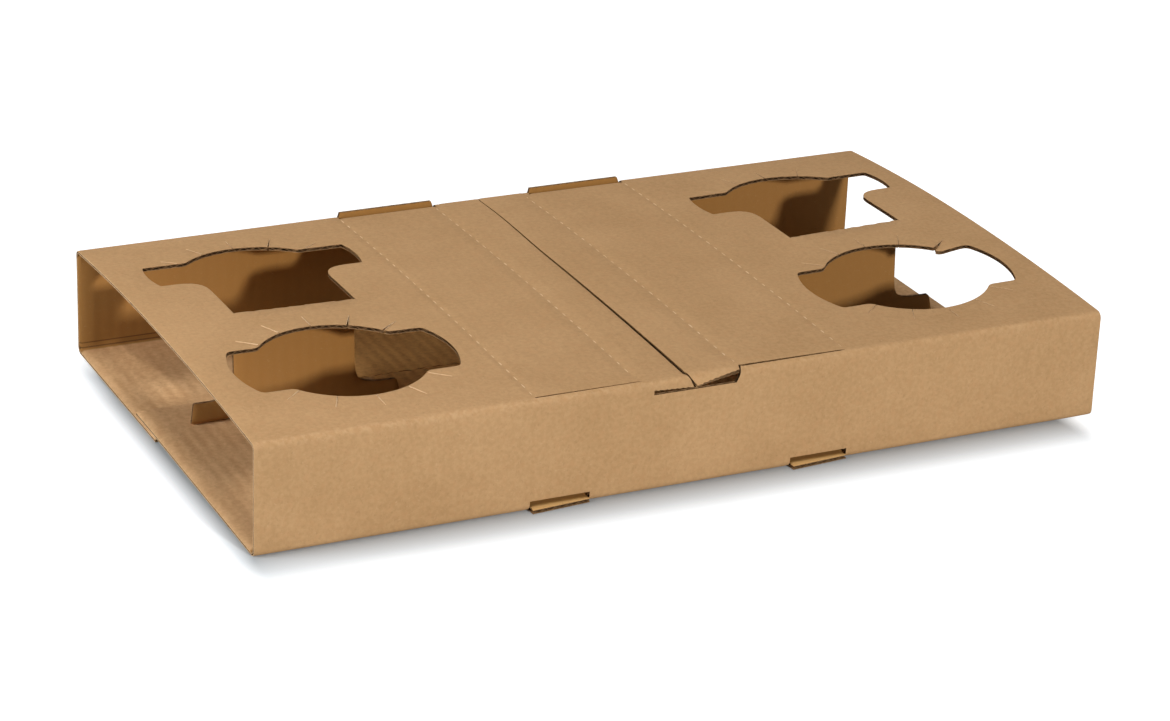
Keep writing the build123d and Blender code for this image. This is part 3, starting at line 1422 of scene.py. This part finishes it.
    def place_flap(self, flat: Points) -> Placed:
        """Folds points of a divider flap: down from the top panel, then back along the floor.

        Args:
            flat: places on the blank.

        Returns:
            The points on the middle of the board, and the directions of its outer face there.
        """
        r, foot_r, bend = self.board.bend_radius, self.foot_bend_radius, self.board.bend
        x, v = flat[:, 0], flat[:, 1] - self.flap_y
        cup_x = np.sign(x) * self.cup_x + self.flap_shift
        aside = np.abs(x - cup_x)
        v = v - self.lobe_rise * self.rise_side.at(aside - self.neck) * self.rise_fade.at(v)
        top = self.top_z(np.c_[x, np.full_like(x, self.flap_y)])
        stand = top - r - (self.foot_layers * self.board.thickness + foot_r)
        first = np.clip(v / r, 0, math.pi / 2)
        down = np.clip(v - bend, 0, stand)
        second = np.clip((v - bend - stand) / foot_r, 0, math.pi / 2)
        foot = np.clip(v - bend - foot_r * math.pi / 2 - stand, 0, None)
        y = self.flap_y + r * np.sin(first) + foot_r * (1 - np.cos(second)) + foot
        y = y - self.flap_lean * np.clip(down / stand, 0, 1)
        bulge = self.bulge_top.at(down) * self.bulge_foot.at(stand - down)
        y = y + bulge * (self.bulge_wave * np.sin(x / self.bulge_run + np.sign(x)) + self.bulge)
        z = top - r * (1 - np.cos(first)) - down - foot_r * np.sin(second)
        z = z - self.foot_sag * self.sag_fade.at(foot)
        pulled = self.lobe_pull * np.clip(foot / self.pull_run, 0, 1) * self.pull_side.at(aside)
        x = x - np.sign(x - cup_x) * pulled + self.drift(x, np.full_like(x, self.flap_y))
        return np.c_[x, y, z], np.c_[np.zeros_like(x), np.sin(first - second), np.cos(first - second)]


@dataclass
class CarrierSheet(FoldedSheet):
    """The folded sheet's own mesh: both liners, pinched together at the cuts."""

    fineness: Fineness = Fineness()
    pinch_reach: float = 1.5
    pinch_inner: float = 0.5
    pinch_ends: float = 1.15
    pinch_outer: float = 0.15

    def rows(self) -> Points:
        """Places along the blank that get a row of points.

        Returns:
            Their s, close together in the folds.
        """
        f, ramp_end = self.fineness, -self.floor_start - self.ramp
        walls = [
            (self.top_end, self.wall_start, f.fold_rows),
            (self.wall_start, self.wall_end, f.wall_rows),
            (self.wall_end, self.floor_start, f.fold_rows),
        ]
        spans = walls + [(-a, -b, count) for a, b, count in walls]
        spans += [
            (-self.top_end, self.flap_y, f.top_front_rows),
            (self.flap_y, self.top_end, f.top_back_rows),
            (self.floor_start, self.back_end, f.back_floor_rows),
            (-self.floor_start, ramp_end, f.front_floor_rows),
            (ramp_end, self.front_end, f.lap_rows),
        ]
        return np.unique(np.round(np.hstack([np.linspace(*span) for span in spans]), 4))

    def columns(self) -> Points:
        """Places across the blank that get a column of points.

        Returns:
            Their x, three at each crease.
        """
        even = np.linspace(-self.half_length, self.half_length, self.fineness.columns)
        lines = (self.hinge_x, self.crease_x)
        creases = [side * (line + d) for side in SIDES for line in lines for d in (-1, 0, 1)]
        clear = self.fineness.crease_clear
        far = [x for x in even if min(abs(x - crease) for crease in creases) > clear]
        return np.array(sorted(far + creases))

    def flap_rows(self) -> Points:
        """Places along a divider flap that get a row of points.

        Returns:
            Their distances from its fold.
        """
        f = self.fineness
        bend, foot = np.linspace(0, self.board.bend, f.fold_rows), np.arange(*f.flap_foot)
        stand = np.linspace(bend[-1], foot[0], f.flap_rows)[1:-1]
        return np.hstack([bend, stand, foot, np.linspace(*f.flap_end)])

    def grid(self) -> Points:
        """Lays points over the blank.

        Returns:
            The points, with those too near to a cut.
        """
        f, rows = self.fineness, self.rows()
        in_bend = (np.abs(rows) > self.top_end - SLACK) & (np.abs(rows) < self.wall_start + SLACK)
        close = np.linspace(-self.half_length, self.half_length, f.fold_columns)
        flat = np.vstack([lattice(self.columns(), rows[~in_bend]), lattice(close, rows[in_bend])])
        across = np.linspace(-f.flap_half_width, f.flap_half_width, f.flap_columns)
        for side in SIDES:
            in_flap = inside(flat, self.flap_outline(side, f.flap_margin))
            flap = lattice(across + side * self.cup_x, self.flap_rows() + self.flap_y)
            flap = flap[inside(flap, self.flap_outline(side, -self.kerf))]
            flat = np.vstack([flat[~in_flap], flap])
        return flat

    def outlines(self) -> list[Points]:
        """Gives the rim and every cut a point wherever a row of the mesh meets them.

        Returns:
            The closed outlines, the rim first.
        """
        f, rows = self.fineness, self.rows()
        found = [refined(self.rim(), rows, f.rim_step)]
        found += [refined(void, rows, f.cut_step) for void in self.voids()]
        for i, outline in enumerate(found):
            x, s = outline.mean(0)
            if abs(abs(x) - self.cup_x) < self.neck and self.flap_y < s < self.top_end:
                found[i] = refined(outline, self.flap_rows() + self.flap_y, f.cut_step)
        return found

    def pinch(self, distance: np.ndarray) -> np.ndarray:
        """Tells how crushed the board is at a distance from a cut: 1 at the cut, 0 inside."""
        return smooth(1 - distance / self.pinch_reach)

    def ring(self, outline: Points) -> Points:
        """Lays points beside a cut.

        Args:
            outline: the cut.

        Returns:
            Points on both sides of it, a crushed edge's width away.
        """
        along = np.roll(outline, -1, axis=0) - np.roll(outline, 1, axis=0)
        along /= np.maximum(np.hypot(*along.T)[:, None], TINY)
        aside = np.c_[along[:, 1], -along[:, 0]] * self.pinch_reach
        return np.vstack([outline + aside, outline - aside])

    def flat_mesh(self) -> tuple[Points, np.ndarray, np.ndarray]:
        """Fills the blank between its cuts with triangles.

        Returns:
            The points of the blank, the triangles, all the same way round, and each point's
            distance from the nearest cut.
        """
        f, outlines = self.fineness, self.outlines()
        edge, clear = np.vstack(outlines), self.fineness.ring_clear * self.pinch_reach
        cuts = Nearest(edge)
        rings = np.vstack([self.ring(outline) for outline in outlines])
        rings = rings[cuts.distances(rings) > clear]
        _, spaced = np.unique(np.round(rings / f.ring_step), axis=0, return_index=True)
        grid = self.grid()
        grid = grid[cuts.distances(grid) > clear]
        points = [Vector(p) for p in np.vstack([edge, rings[np.sort(spaced)], grid])]
        sides, start = [], 0
        for outline in outlines:
            count = len(outline)
            sides += [(start + i, start + (i + 1) % count) for i in range(count)]
            start += count
        found = geometry.delaunay_2d_cdt(points, sides, [], 0, MERGE)
        flat = np.array([tuple(p) for p in found[0]])
        faces = np.array([face for face in found[2] if len(face) == 3])
        middle = flat[faces].mean(1)
        keep = inside(middle, self.rim() * (1 + RIM_SLACK))
        for outline in outlines[1:]:
            keep &= ~inside(middle, outline)
        faces = faces[keep]
        a, b, c = flat[faces[:, 0]], flat[faces[:, 1]], flat[faces[:, 2]]
        area = (b[:, 0] - a[:, 0]) * (c[:, 1] - a[:, 1]) - (b[:, 1] - a[:, 1]) * (c[:, 0] - a[:, 0])
        faces[area < 0] = faces[area < 0][:, ::-1]
        faces = faces[np.abs(area) > LEAST_AREA]
        used, inverse = np.unique(faces, return_inverse=True)
        return flat[used], inverse.reshape(faces.shape), cuts.distances(flat[used])

    def build(self) -> bpy.types.Object:
        """Builds both liners of the folded sheet as thin closed skins.

        Returns:
            The board's object, which stands for the CAD sheet.
        """
        flat, faces, distance = self.flat_mesh()
        middle, normals = self.place(flat)
        rim, ends = open_sides(faces), np.abs(flat[:, 0]) > self.half_length - SLACK
        rim_finish = np.where(ends[rim].all(1), Finish.TORN.number, Finish.EDGE.number).tolist()
        pinch = self.pinch(distance)[:, None]
        crushed = np.where(ends, self.pinch_ends, self.pinch_inner)[:, None] * pinch
        half, liner, count = self.board.half, self.board.liner, len(flat)
        skins = (
            (half, half - liner, -self.pinch_outer * pinch, Finish.LINER, Finish.RAW),
            (liner - half, -half, crushed, Finish.RAW, Finish.INNER),
        )
        points, polygons, finishes = [], [], []
        for high, low, moved, over, under in skins:
            base = count * len(points)
            points += [middle + normals * (high + moved), middle + normals * (low + moved)]
            polygons += (faces + base).tolist() + (faces[:, ::-1] + base + count).tolist()
            a, b = (rim + base).T
            polygons += np.c_[b, a, a + count, b + count].tolist()
            finishes += [over.number] * len(faces) + [under.number] * len(faces) + rim_finish
        board = new_object("carrier_board", np.vstack(points), polygons)
        board.data.polygons.foreach_set("material_index", finishes)
        LOG.info("carrier_board: %d points on the blank, %d faces", count, len(polygons))
        return board


# Small repeated parts


@dataclass
class Ribbons:
    """Flat strips of faces along the cuts, before they are pressed into flutes."""

    points: list[Points] = field(default_factory=list)
    normals: list[Points] = field(default_factory=list)
    across: list[np.ndarray] = field(default_factory=list)
    faces: list[tuple[int, int, int, int]] = field(default_factory=list)

    def add(self, rows: list[tuple[Points, Points, np.ndarray]], pairs: list[tuple[int, int]]) -> None:
        """Adds one strip.

        Args:
            rows: each row's points, the directions they will move in and their x on the blank.
            pairs: the neighbours in a row that get a face to the next row.
        """
        base, count = sum(len(p) for p in self.points), len(rows[0][0])
        for low in range(base, base + (len(rows) - 1) * count, count):
            self.faces += [(low + i, low + j, low + count + j, low + count + i) for i, j in pairs]
        for points, normals, across in rows:
            self.points.append(points)
            self.normals.append(normals)
            self.across.append(across)


@dataclass
class Fluting:
    """The wavy middle paper, where a cut edge of the board lets it be seen."""

    sheet: CarrierSheet
    start: float = 0.08
    depth: float = 5.0
    depth_rows: int = 6
    least_depth: float = 0.25
    probe_end: float = 0.3
    probe_step: float = 0.4
    wave_step: float = 0.75
    plain_step: float = 4.0
    shortest: float = 0.05
    longest: float = 6.5
    paper: float = 0.24
    crush: float = 0.3
    bend_crush: float = 1.6
    bend_clear: float = 1.5
    strip_inset: float = 0.2
    strip_drop: float = 0.1

    def columns(self, outline: Points) -> tuple[Points, Points]:
        """Spaces points along a closed cut, closest where it crosses the flutes.

        Args:
            outline: the cut, with the board outside it.

        Returns:
            The points, and the direction into the board at each.
        """
        points, inward = [], []
        after = np.roll(outline, -1, axis=0)
        turn = math.copysign(1, np.sum(outline[:, 0] * after[:, 1] - outline[:, 1] * after[:, 0]))
        for a, b in zip(outline, after):
            length = np.hypot(*(b - a))
            if length < self.shortest:
                continue
            way = (b - a) / length
            step = min(self.wave_step / max(abs(way[0]), SHORTEST), self.plain_step)
            parts = max(1, math.ceil(length / step))
            points += [a + (b - a) * k / parts for k in range(parts)]
            inward += [np.array([way[1], -way[0]]) * turn] * parts
        return np.array(points), np.array(inward)

    def reach(self, points: Points, inward: Points, cuts: list[Points], rim: Points) -> np.ndarray:
        """Finds how deep each column can go before it meets another cut.

        Args:
            points: where the columns start.
            inward: the direction into the board at each.
            cuts: every cut.
            rim: outline of the blank.

        Returns:
            One depth a column.
        """
        deep = np.full(len(points), self.depth)
        for depth in np.arange(self.depth, self.probe_end, -self.probe_step):
            probe = points + inward * depth
            hit = ~inside(probe, rim)
            for cut in cuts:
                hit |= inside(probe, cut)
            deep[hit] = np.minimum(deep[hit], depth - self.probe_step)
        return np.maximum(deep, self.least_depth)

    def ribbon(self, at: Points, inward: Points, deep: np.ndarray) -> list[tuple[Points, Points, np.ndarray]]:
        """Lays rows of points from a cut into the board.

        Args:
            at: points along the cut.
            inward: the direction into the board at each.
            deep: how deep to go at each.

        Returns:
            The rows, as a strip takes them.
        """
        rows, sheet = [], self.sheet
        for share in np.linspace(0, 1, self.depth_rows + 1):
            depth = self.start + (deep - self.start) * share
            flat = at + inward * depth[:, None]
            placed, normal = sheet.place(flat)
            from_bend = np.abs(np.abs(flat[:, 1:]) - sheet.top_end - sheet.board.bend / 2)
            in_bend = from_bend < sheet.board.bend / 2 + self.bend_clear
            pinch = np.maximum(sheet.pinch(depth)[:, None], self.bend_crush * in_bend)
            shift = np.minimum(pinch, 1) * (sheet.pinch_inner - sheet.pinch_outer) / 2
            rows.append((placed + normal * shift, normal * (1 - self.crush * pinch), flat[:, 0]))
        return rows

    def end_strip(self, at: Points, inward: Points) -> list[tuple[Points, Points, np.ndarray]]:
        """Lays two rows where one flute's side closes the board, along a cut beside the flutes.

        Args:
            at: points along the cut.
            inward: the direction into the board at each.

        Returns:
            The rows, as a strip takes them.
        """
        flat, sheet = at + inward * self.strip_inset, self.sheet
        placed, normal = sheet.place(flat)
        low = -sheet.board.half + sheet.board.liner + sheet.pinch_ends - self.strip_drop
        high = sheet.board.half - sheet.board.liner - sheet.pinch_outer
        return [(placed + normal * lift, normal * 0, flat[:, 0]) for lift in (low, high)]

    def build(self, finish: bpy.types.Material) -> bpy.types.Object:
        """Builds the fluting along every cut.

        Args:
            finish: the paper's material.

        Returns:
            The fluting's object.
        """
        cuts, rim, ribbons = self.sheet.voids(slits=False), self.sheet.rim(), Ribbons()
        rim_at, rim_out = self.columns(rim)
        for at, inward in [(rim_at, -rim_out), *map(self.columns, cuts)]:
            ring = [(i, (i + 1) % len(at)) for i in range(len(at))]
            ribbons.add(self.ribbon(at, inward, self.reach(at, inward, cuts, rim)), ring)
        ring = [(i, (i + 1) % len(rim_at)) for i in range(len(rim_at))]
        beside = [(i, j) for i, j in ring if abs(rim_at[i][0] - rim_at[j][0]) < TINY]
        ribbons.add(self.end_strip(rim_at, -rim_out), beside)

        placed = np.vstack(ribbons.points)
        corners = placed[np.array(ribbons.faces)]
        longest = np.max(np.linalg.norm(corners - np.roll(corners, -1, axis=1), axis=2), axis=1)
        faces = [face for face, size in zip(ribbons.faces, longest) if size < self.longest]
        piece = new_object("board_fluting", placed, faces)
        normals = piece.data.attributes.new("board_normal", "FLOAT_VECTOR", "POINT")
        normals.data.foreach_set("vector", np.vstack(ribbons.normals).ravel().astype(np.float32))
        across = piece.data.attributes.new("across_flutes", "FLOAT", "POINT")
        across.data.foreach_set("value", (np.hstack(ribbons.across) * MM).astype(np.float32))
        self.tree(finish).apply(piece, self.paper * MM)
        return piece

    def tree(self, finish: bpy.types.Material) -> GeometryWork:
        """Lays out the nodes that press the flat strips into flutes.

        Args:
            finish: the paper's material.

        Returns:
            The node tree.
        """
        board = self.sheet.board
        work = GeometryWork("flutes")
        pitch = work.size("Flute Pitch", board.flute_pitch * MM)
        rise = work.size("Flute Height", (board.half - board.liner - self.paper / 2) * MM)
        turns = work.maths("DIVIDE", work.attribute("across_flutes"), pitch)
        lift = work.product(work.maths("SINE", work.product(turns, 2 * math.pi)), rise)
        normal = work.attribute("board_normal", "FLOAT_VECTOR")
        move = work.add("ShaderNodeVectorMath", {0: normal, "Scale": lift}, operation="SCALE")
        start = {"Geometry": work.first.outputs["Geometry"], "Offset": move.outputs[0]}
        work.end(work.add("SetPosition", start).outputs[0], finish)
        return work


def laid_lines(name: str, sheet: CarrierSheet, lines: list[Points], lift: float) -> bpy.types.Object:
    """Lays lines of the flat blank on the folded board's outer face.

    Args:
        name: the object's name.
        sheet: the folded sheet.
        lines: the lines, as places on the blank.
        lift: their distance from the board's middle.

    Returns:
        An object of loose edges.
    """
    points, edges = [], []
    for flat in lines:
        placed, normal = sheet.place(flat)
        edges += [(len(points) + i, len(points) + i + 1) for i in range(len(flat) - 1)]
        points += list(placed + normal * lift)
    return new_object(name, np.array(points), [], edges)


@dataclass
class Perforations:
    """The rows of short raised cuts that let the doors fold."""

    sheet: CarrierSheet
    pitch: float = 8.75
    length: float = 4.6
    width: float = 0.85
    rise: float = 0.42
    front_gap: float = 4.5
    back_gap: float = 6.0
    points: int = 60
    smallest: Way = (0.7, 0.75, 0.6)
    largest: Way = (1.25, 1.1, 1.3)
    seed: int = 11

    def build(self, finish: bpy.types.Material) -> bpy.types.Object:
        """Builds the dashes along the doors' four creases.

        Args:
            finish: the torn fibres' material.

        Returns:
            The dashes' object.
        """
        sheet, edge = self.sheet, self.sheet.front_door_edge
        along = np.linspace(self.front_gap - edge, edge - self.back_gap, self.points)
        creases = (-sheet.hinge_x, -sheet.crease_x, sheet.crease_x, sheet.hinge_x)
        lines = [np.c_[np.full_like(along, x), along] for x in creases]
        piece = laid_lines("crease_perforations", sheet, lines, sheet.board.half)
        self.tree(finish).apply(piece)
        return piece

    def tree(self, finish: bpy.types.Material) -> GeometryWork:
        """Lays out the nodes that set one dash at each step along the creases.

        Args:
            finish: the dashes' material.

        Returns:
            The node tree.
        """
        work = GeometryWork("perforations")
        pitch = work.size("Pitch", self.pitch * MM)
        length = work.size("Dash Length", self.length * MM)
        width = work.size("Dash Width", self.width * MM)
        rise = work.size("Dash Height", self.rise * MM)
        line = work.add("MeshToCurve", {"Mesh": work.first.outputs["Geometry"]})
        steps = work.add("ResampleCurve", {"Curve": line.outputs[0], "Length": pitch}, mode="LENGTH")
        dash = work.add("MeshUVSphere", {"Segments": 8, "Rings": 4, "Radius": 0.5})
        size = work.add("ShaderNodeCombineXYZ", {0: width, 1: length, 2: rise})
        spread = {"Min": self.smallest, "Max": self.largest, "Seed": self.seed}
        uneven = work.add("FunctionNodeRandomValue", spread, data_type="FLOAT_VECTOR")
        factors = {0: size.outputs[0], 1: uneven.outputs[0]}
        scale = work.add("ShaderNodeVectorMath", factors, operation="MULTIPLY")
        where = {"Points": steps.outputs[0], "Instance": dash.outputs[0], "Scale": scale.outputs[0]}
        work.end(work.add("InstanceOnPoints", where).outputs[0], finish)
        return work


@dataclass
class SlitBurrs:
    """The torn fibres that stand up along both sides of each knife slit."""

    sheet: CarrierSheet
    radius: float = 0.18
    gap: float = 0.08
    tip_gap: float = 0.06
    lift: float = 0.03
    start: float = 0.9
    past_end: float = 0.3
    points: int = 14
    outer_turn: float = 45
    outer_points: int = 11
    back_share: float = 0.6
    right_share: float = 0.35
    noise_scale: float = 700.0
    noise_strength: float = 1.6

    def build(self, finish: bpy.types.Material) -> bpy.types.Object:
        """Builds the burrs of every slit.

        Args:
            finish: the torn fibres' material.

        Returns:
            The burrs' object.
        """
        lines, strengths, sheet = [], [], self.sheet
        start, end = sheet.cup_radius + self.start, sheet.cup_radius + sheet.slit_reach + self.past_end
        share = np.linspace(0, 1, self.points)[:, None]
        for centre, angle, width in sheet.slit_list():
            at_back, at_right = centre[1] > 0, centre[0] > 0
            away = direction(angle)
            aside = np.array([-away[1], away[0]])
            spread = (width / 2 + self.gap) * (1 - share) + self.tip_gap
            strength = (self.right_share if at_right else 1.0) * (self.back_share if at_back else 1.0)
            for side in SIDES:
                flat = np.array(centre) + away * (start + (end - start) * share) + aside * side * spread
                if at_back and abs(angle - 90) > self.outer_turn:
                    flat = flat[-self.outer_points :]
                lines.append(flat)
                strengths += [strength] * len(flat)
        piece = laid_lines("slit_burrs", sheet, lines, sheet.board.half + self.lift)
        piece.data.attributes.new("strength", "FLOAT", "POINT").data.foreach_set("value", strengths)
        self.tree(finish).apply(piece)
        return piece

    def tree(self, finish: bpy.types.Material) -> GeometryWork:
        """Lays out the nodes that give each burr line an uneven round section.

        Args:
            finish: the fibres' material.

        Returns:
            The node tree.
        """
        work = GeometryWork("slit_burrs")
        radius = work.size("Burr Radius", self.radius * MM)
        line = work.add("MeshToCurve", {"Mesh": work.first.outputs["Geometry"]})
        noise = work.add("ShaderNodeTexNoise", {"Scale": self.noise_scale, "Detail": 2.0}).outputs[0]
        thick = work.product(noise, self.noise_strength, radius, work.attribute("strength"))
        circle = work.add("CurvePrimitiveCircle", {"Resolution": 6, "Radius": 1.0})
        uneven = work.add("SetCurveRadius", {"Curve": line.outputs[0], "Radius": thick})
        swept = {"Curve": uneven.outputs[0], "Profile Curve": circle.outputs[0]}
        swept |= {"Scale": thick, "Fill Caps": True}
        work.end(work.add("CurveToMesh", swept).outputs[0], finish)
        return work


# Studio


@dataclass(frozen=True)
class Lamp:
    """A square soft lamp. Its strength is the brightness of a white surface that faces it."""

    name: str
    way: Way
    strength: float
    size: float
    distance: float

    def hang(self) -> None:
        """Hangs the lamp so that it shines along its way at the object."""
        data = bpy.data.lights.new(self.name, "AREA")
        data.size = self.size
        data.energy = self.strength * math.pi**2 * self.distance**2
        lamp = bpy.data.objects.new(self.name, data)
        way = Vector(self.way).normalized()
        turn = way.to_track_quat("-Z", "Y").to_matrix().to_4x4()
        lamp.matrix_world = Matrix.Translation(-way * self.distance) @ turn
        bpy.context.scene.collection.objects.link(lamp)


@dataclass
class Studio:
    """Pale floor, soft lamps and the photograph's viewpoint. Lengths are in metres."""

    azimuth: float = -26.262
    elevation: float = 22.977
    roll: float = 2.246
    lens: float = 108.55
    sensor: float = 36
    distance: float = 1.779
    target: Way = (-0.01434, -0.03315, 0.0284)
    lamps: tuple[Lamp, ...] = (
        Lamp("key", (-0.146, 1.0, -0.39), 0.68, 0.26, 4.0),
        Lamp("side", (1.0, 0.08, -0.36), 0.64, 0.5, 1.0),
        Lamp("overhead", (-0.05, -0.38, -1.0), 0.31, 0.8, 2.4),
    )
    sky_strength: float = 0.12
    floor_half: float = 9.0
    floor_colour: Colour = (0.52, 0.565, 0.60, 1)
    floor_glow: float = 0.85
    # A box round the carrier where the floor's glow is held back: a painted shadow, reaching further in front
    # than at the ends.
    shaded_middle: Way = (-0.010, -0.02, 0.0)
    shaded_half: Pair = (0.218, 0.111)
    shadow_reach: float = 0.036
    shadow_ends: float = 2.8

    def camera(self) -> None:
        """Sets the camera at the photograph's viewing angle."""
        az, el, roll = (math.radians(a) for a in (self.azimuth, self.elevation, self.roll))
        back = Vector((math.sin(az) * math.cos(el), -math.cos(az) * math.cos(el), math.sin(el)))
        right = Vector((math.cos(az), math.sin(az), 0))
        up = back.cross(right)
        turned = right * math.cos(roll) + up * math.sin(roll)
        raised = up * math.cos(roll) - right * math.sin(roll)
        data = bpy.data.cameras.new("view")
        data.lens = self.lens
        data.sensor_width = self.sensor
        data.sensor_fit = "HORIZONTAL"
        data.clip_start = 0.01
        data.clip_end = 50
        camera = bpy.data.objects.new("view", data)
        place = Matrix.Translation(Vector(self.target) + back * self.distance)
        camera.matrix_world = place @ Matrix((turned, raised, back)).transposed().to_4x4()
        bpy.context.scene.collection.objects.link(camera)
        bpy.context.scene.camera = camera

    def sky(self) -> None:
        """Lights the scene evenly, and shows white behind it."""
        world = bpy.data.worlds.new("sky")
        bpy.context.scene.world = world
        world.use_nodes = True
        work = TreeWork(world.node_tree)
        work.tree.nodes.clear()
        light = work.add("Background", {"Strength": self.sky_strength, "Color": WHITE})
        shown = work.add("Background", {"Strength": 1, "Color": WHITE})
        mix = work.add("MixShader", {0: work.seen_rays(), 1: light.outputs[0], 2: shown.outputs[0]})
        work.add("OutputWorld", {0: mix.outputs[0]})

    def floor(self) -> bpy.types.Object:
        """Lays the pale floor. It keeps the lamps' shadows, and its white glow is held back in a box round
        the carrier, a painted shadow.

        Returns:
            The floor.
        """
        corners = np.array([(-1, -1, 0), (1, -1, 0), (1, 1, 0), (-1, 1, 0)]) * self.floor_half / MM
        floor = new_object("floor", corners, [(0, 1, 2, 3)])
        work = ShaderWork("pale_floor")
        # Painted shadow: no glow inside the box, easing to full glow past it.
        beyond = []
        for way, middle, half in zip((work.x, work.y), self.shaded_middle, self.shaded_half):
            apart = work.maths("ABSOLUTE", work.maths("SUBTRACT", way, middle))
            beyond.append(work.maths("MAXIMUM", work.maths("SUBTRACT", apart, half), 0))
        apart = work.add("CombineXYZ", {0: work.product(beyond[0], self.shadow_ends), 1: beyond[1]})
        apart = work.add("VectorMath", {0: apart.outputs[0]}, operation="LENGTH").outputs["Value"]
        inputs = {"Value": apart, "From Max": self.shadow_reach, "To Max": self.floor_glow}
        glow = work.add("MapRange", inputs).outputs[0]
        finish = {"Base Color": self.floor_colour, "Roughness": 1, "Specular IOR Level": 0}
        finish |= {"Emission Color": WHITE, "Emission Strength": work.product(work.seen_rays(), glow)}
        floor.data.materials.append(work.dress(finish))
        return floor

    def build(self) -> bpy.types.Object:
        """Sets up the whole studio.

        Returns:
            The floor.
        """
        self.camera()
        self.sky()
        for lamp in self.lamps:
            lamp.hang()
        bpy.context.scene.view_settings.view_transform = "Standard"
        return self.floor()


def shade(piece: bpy.types.Object, angle: float) -> None:
    """Smooths a piece's faces and keeps edges sharper than an angle, in degrees."""
    piece.data.shade_smooth()
    piece.data.set_sharp_from_angle(angle=math.radians(angle))


def main() -> None:
    """Builds the carrier and its studio."""
    logging.basicConfig(level=logging.INFO, format="%(name)s: %(message)s")
    finishes = {finish: finish.value.material() for finish in Finish}
    sheet = CarrierSheet()

    board = sheet.build()
    for finish in Finish:
        if finish is not Finish.FLUTE:
            board.data.materials.append(finishes[finish])
    shade(board, angle=40)
    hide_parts("carrier_sheet")

    fluting = Fluting(sheet).build(finishes[Finish.FLUTE])
    shade(fluting, angle=50)
    dashes = Perforations(sheet).build(finishes[Finish.TORN])
    burrs = SlitBurrs(sheet).build(finishes[Finish.TORN])
    for piece in (board, fluting, dashes, burrs):
        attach(piece, BODY)

    Studio().build()


if __name__ == "__main__":
    main()
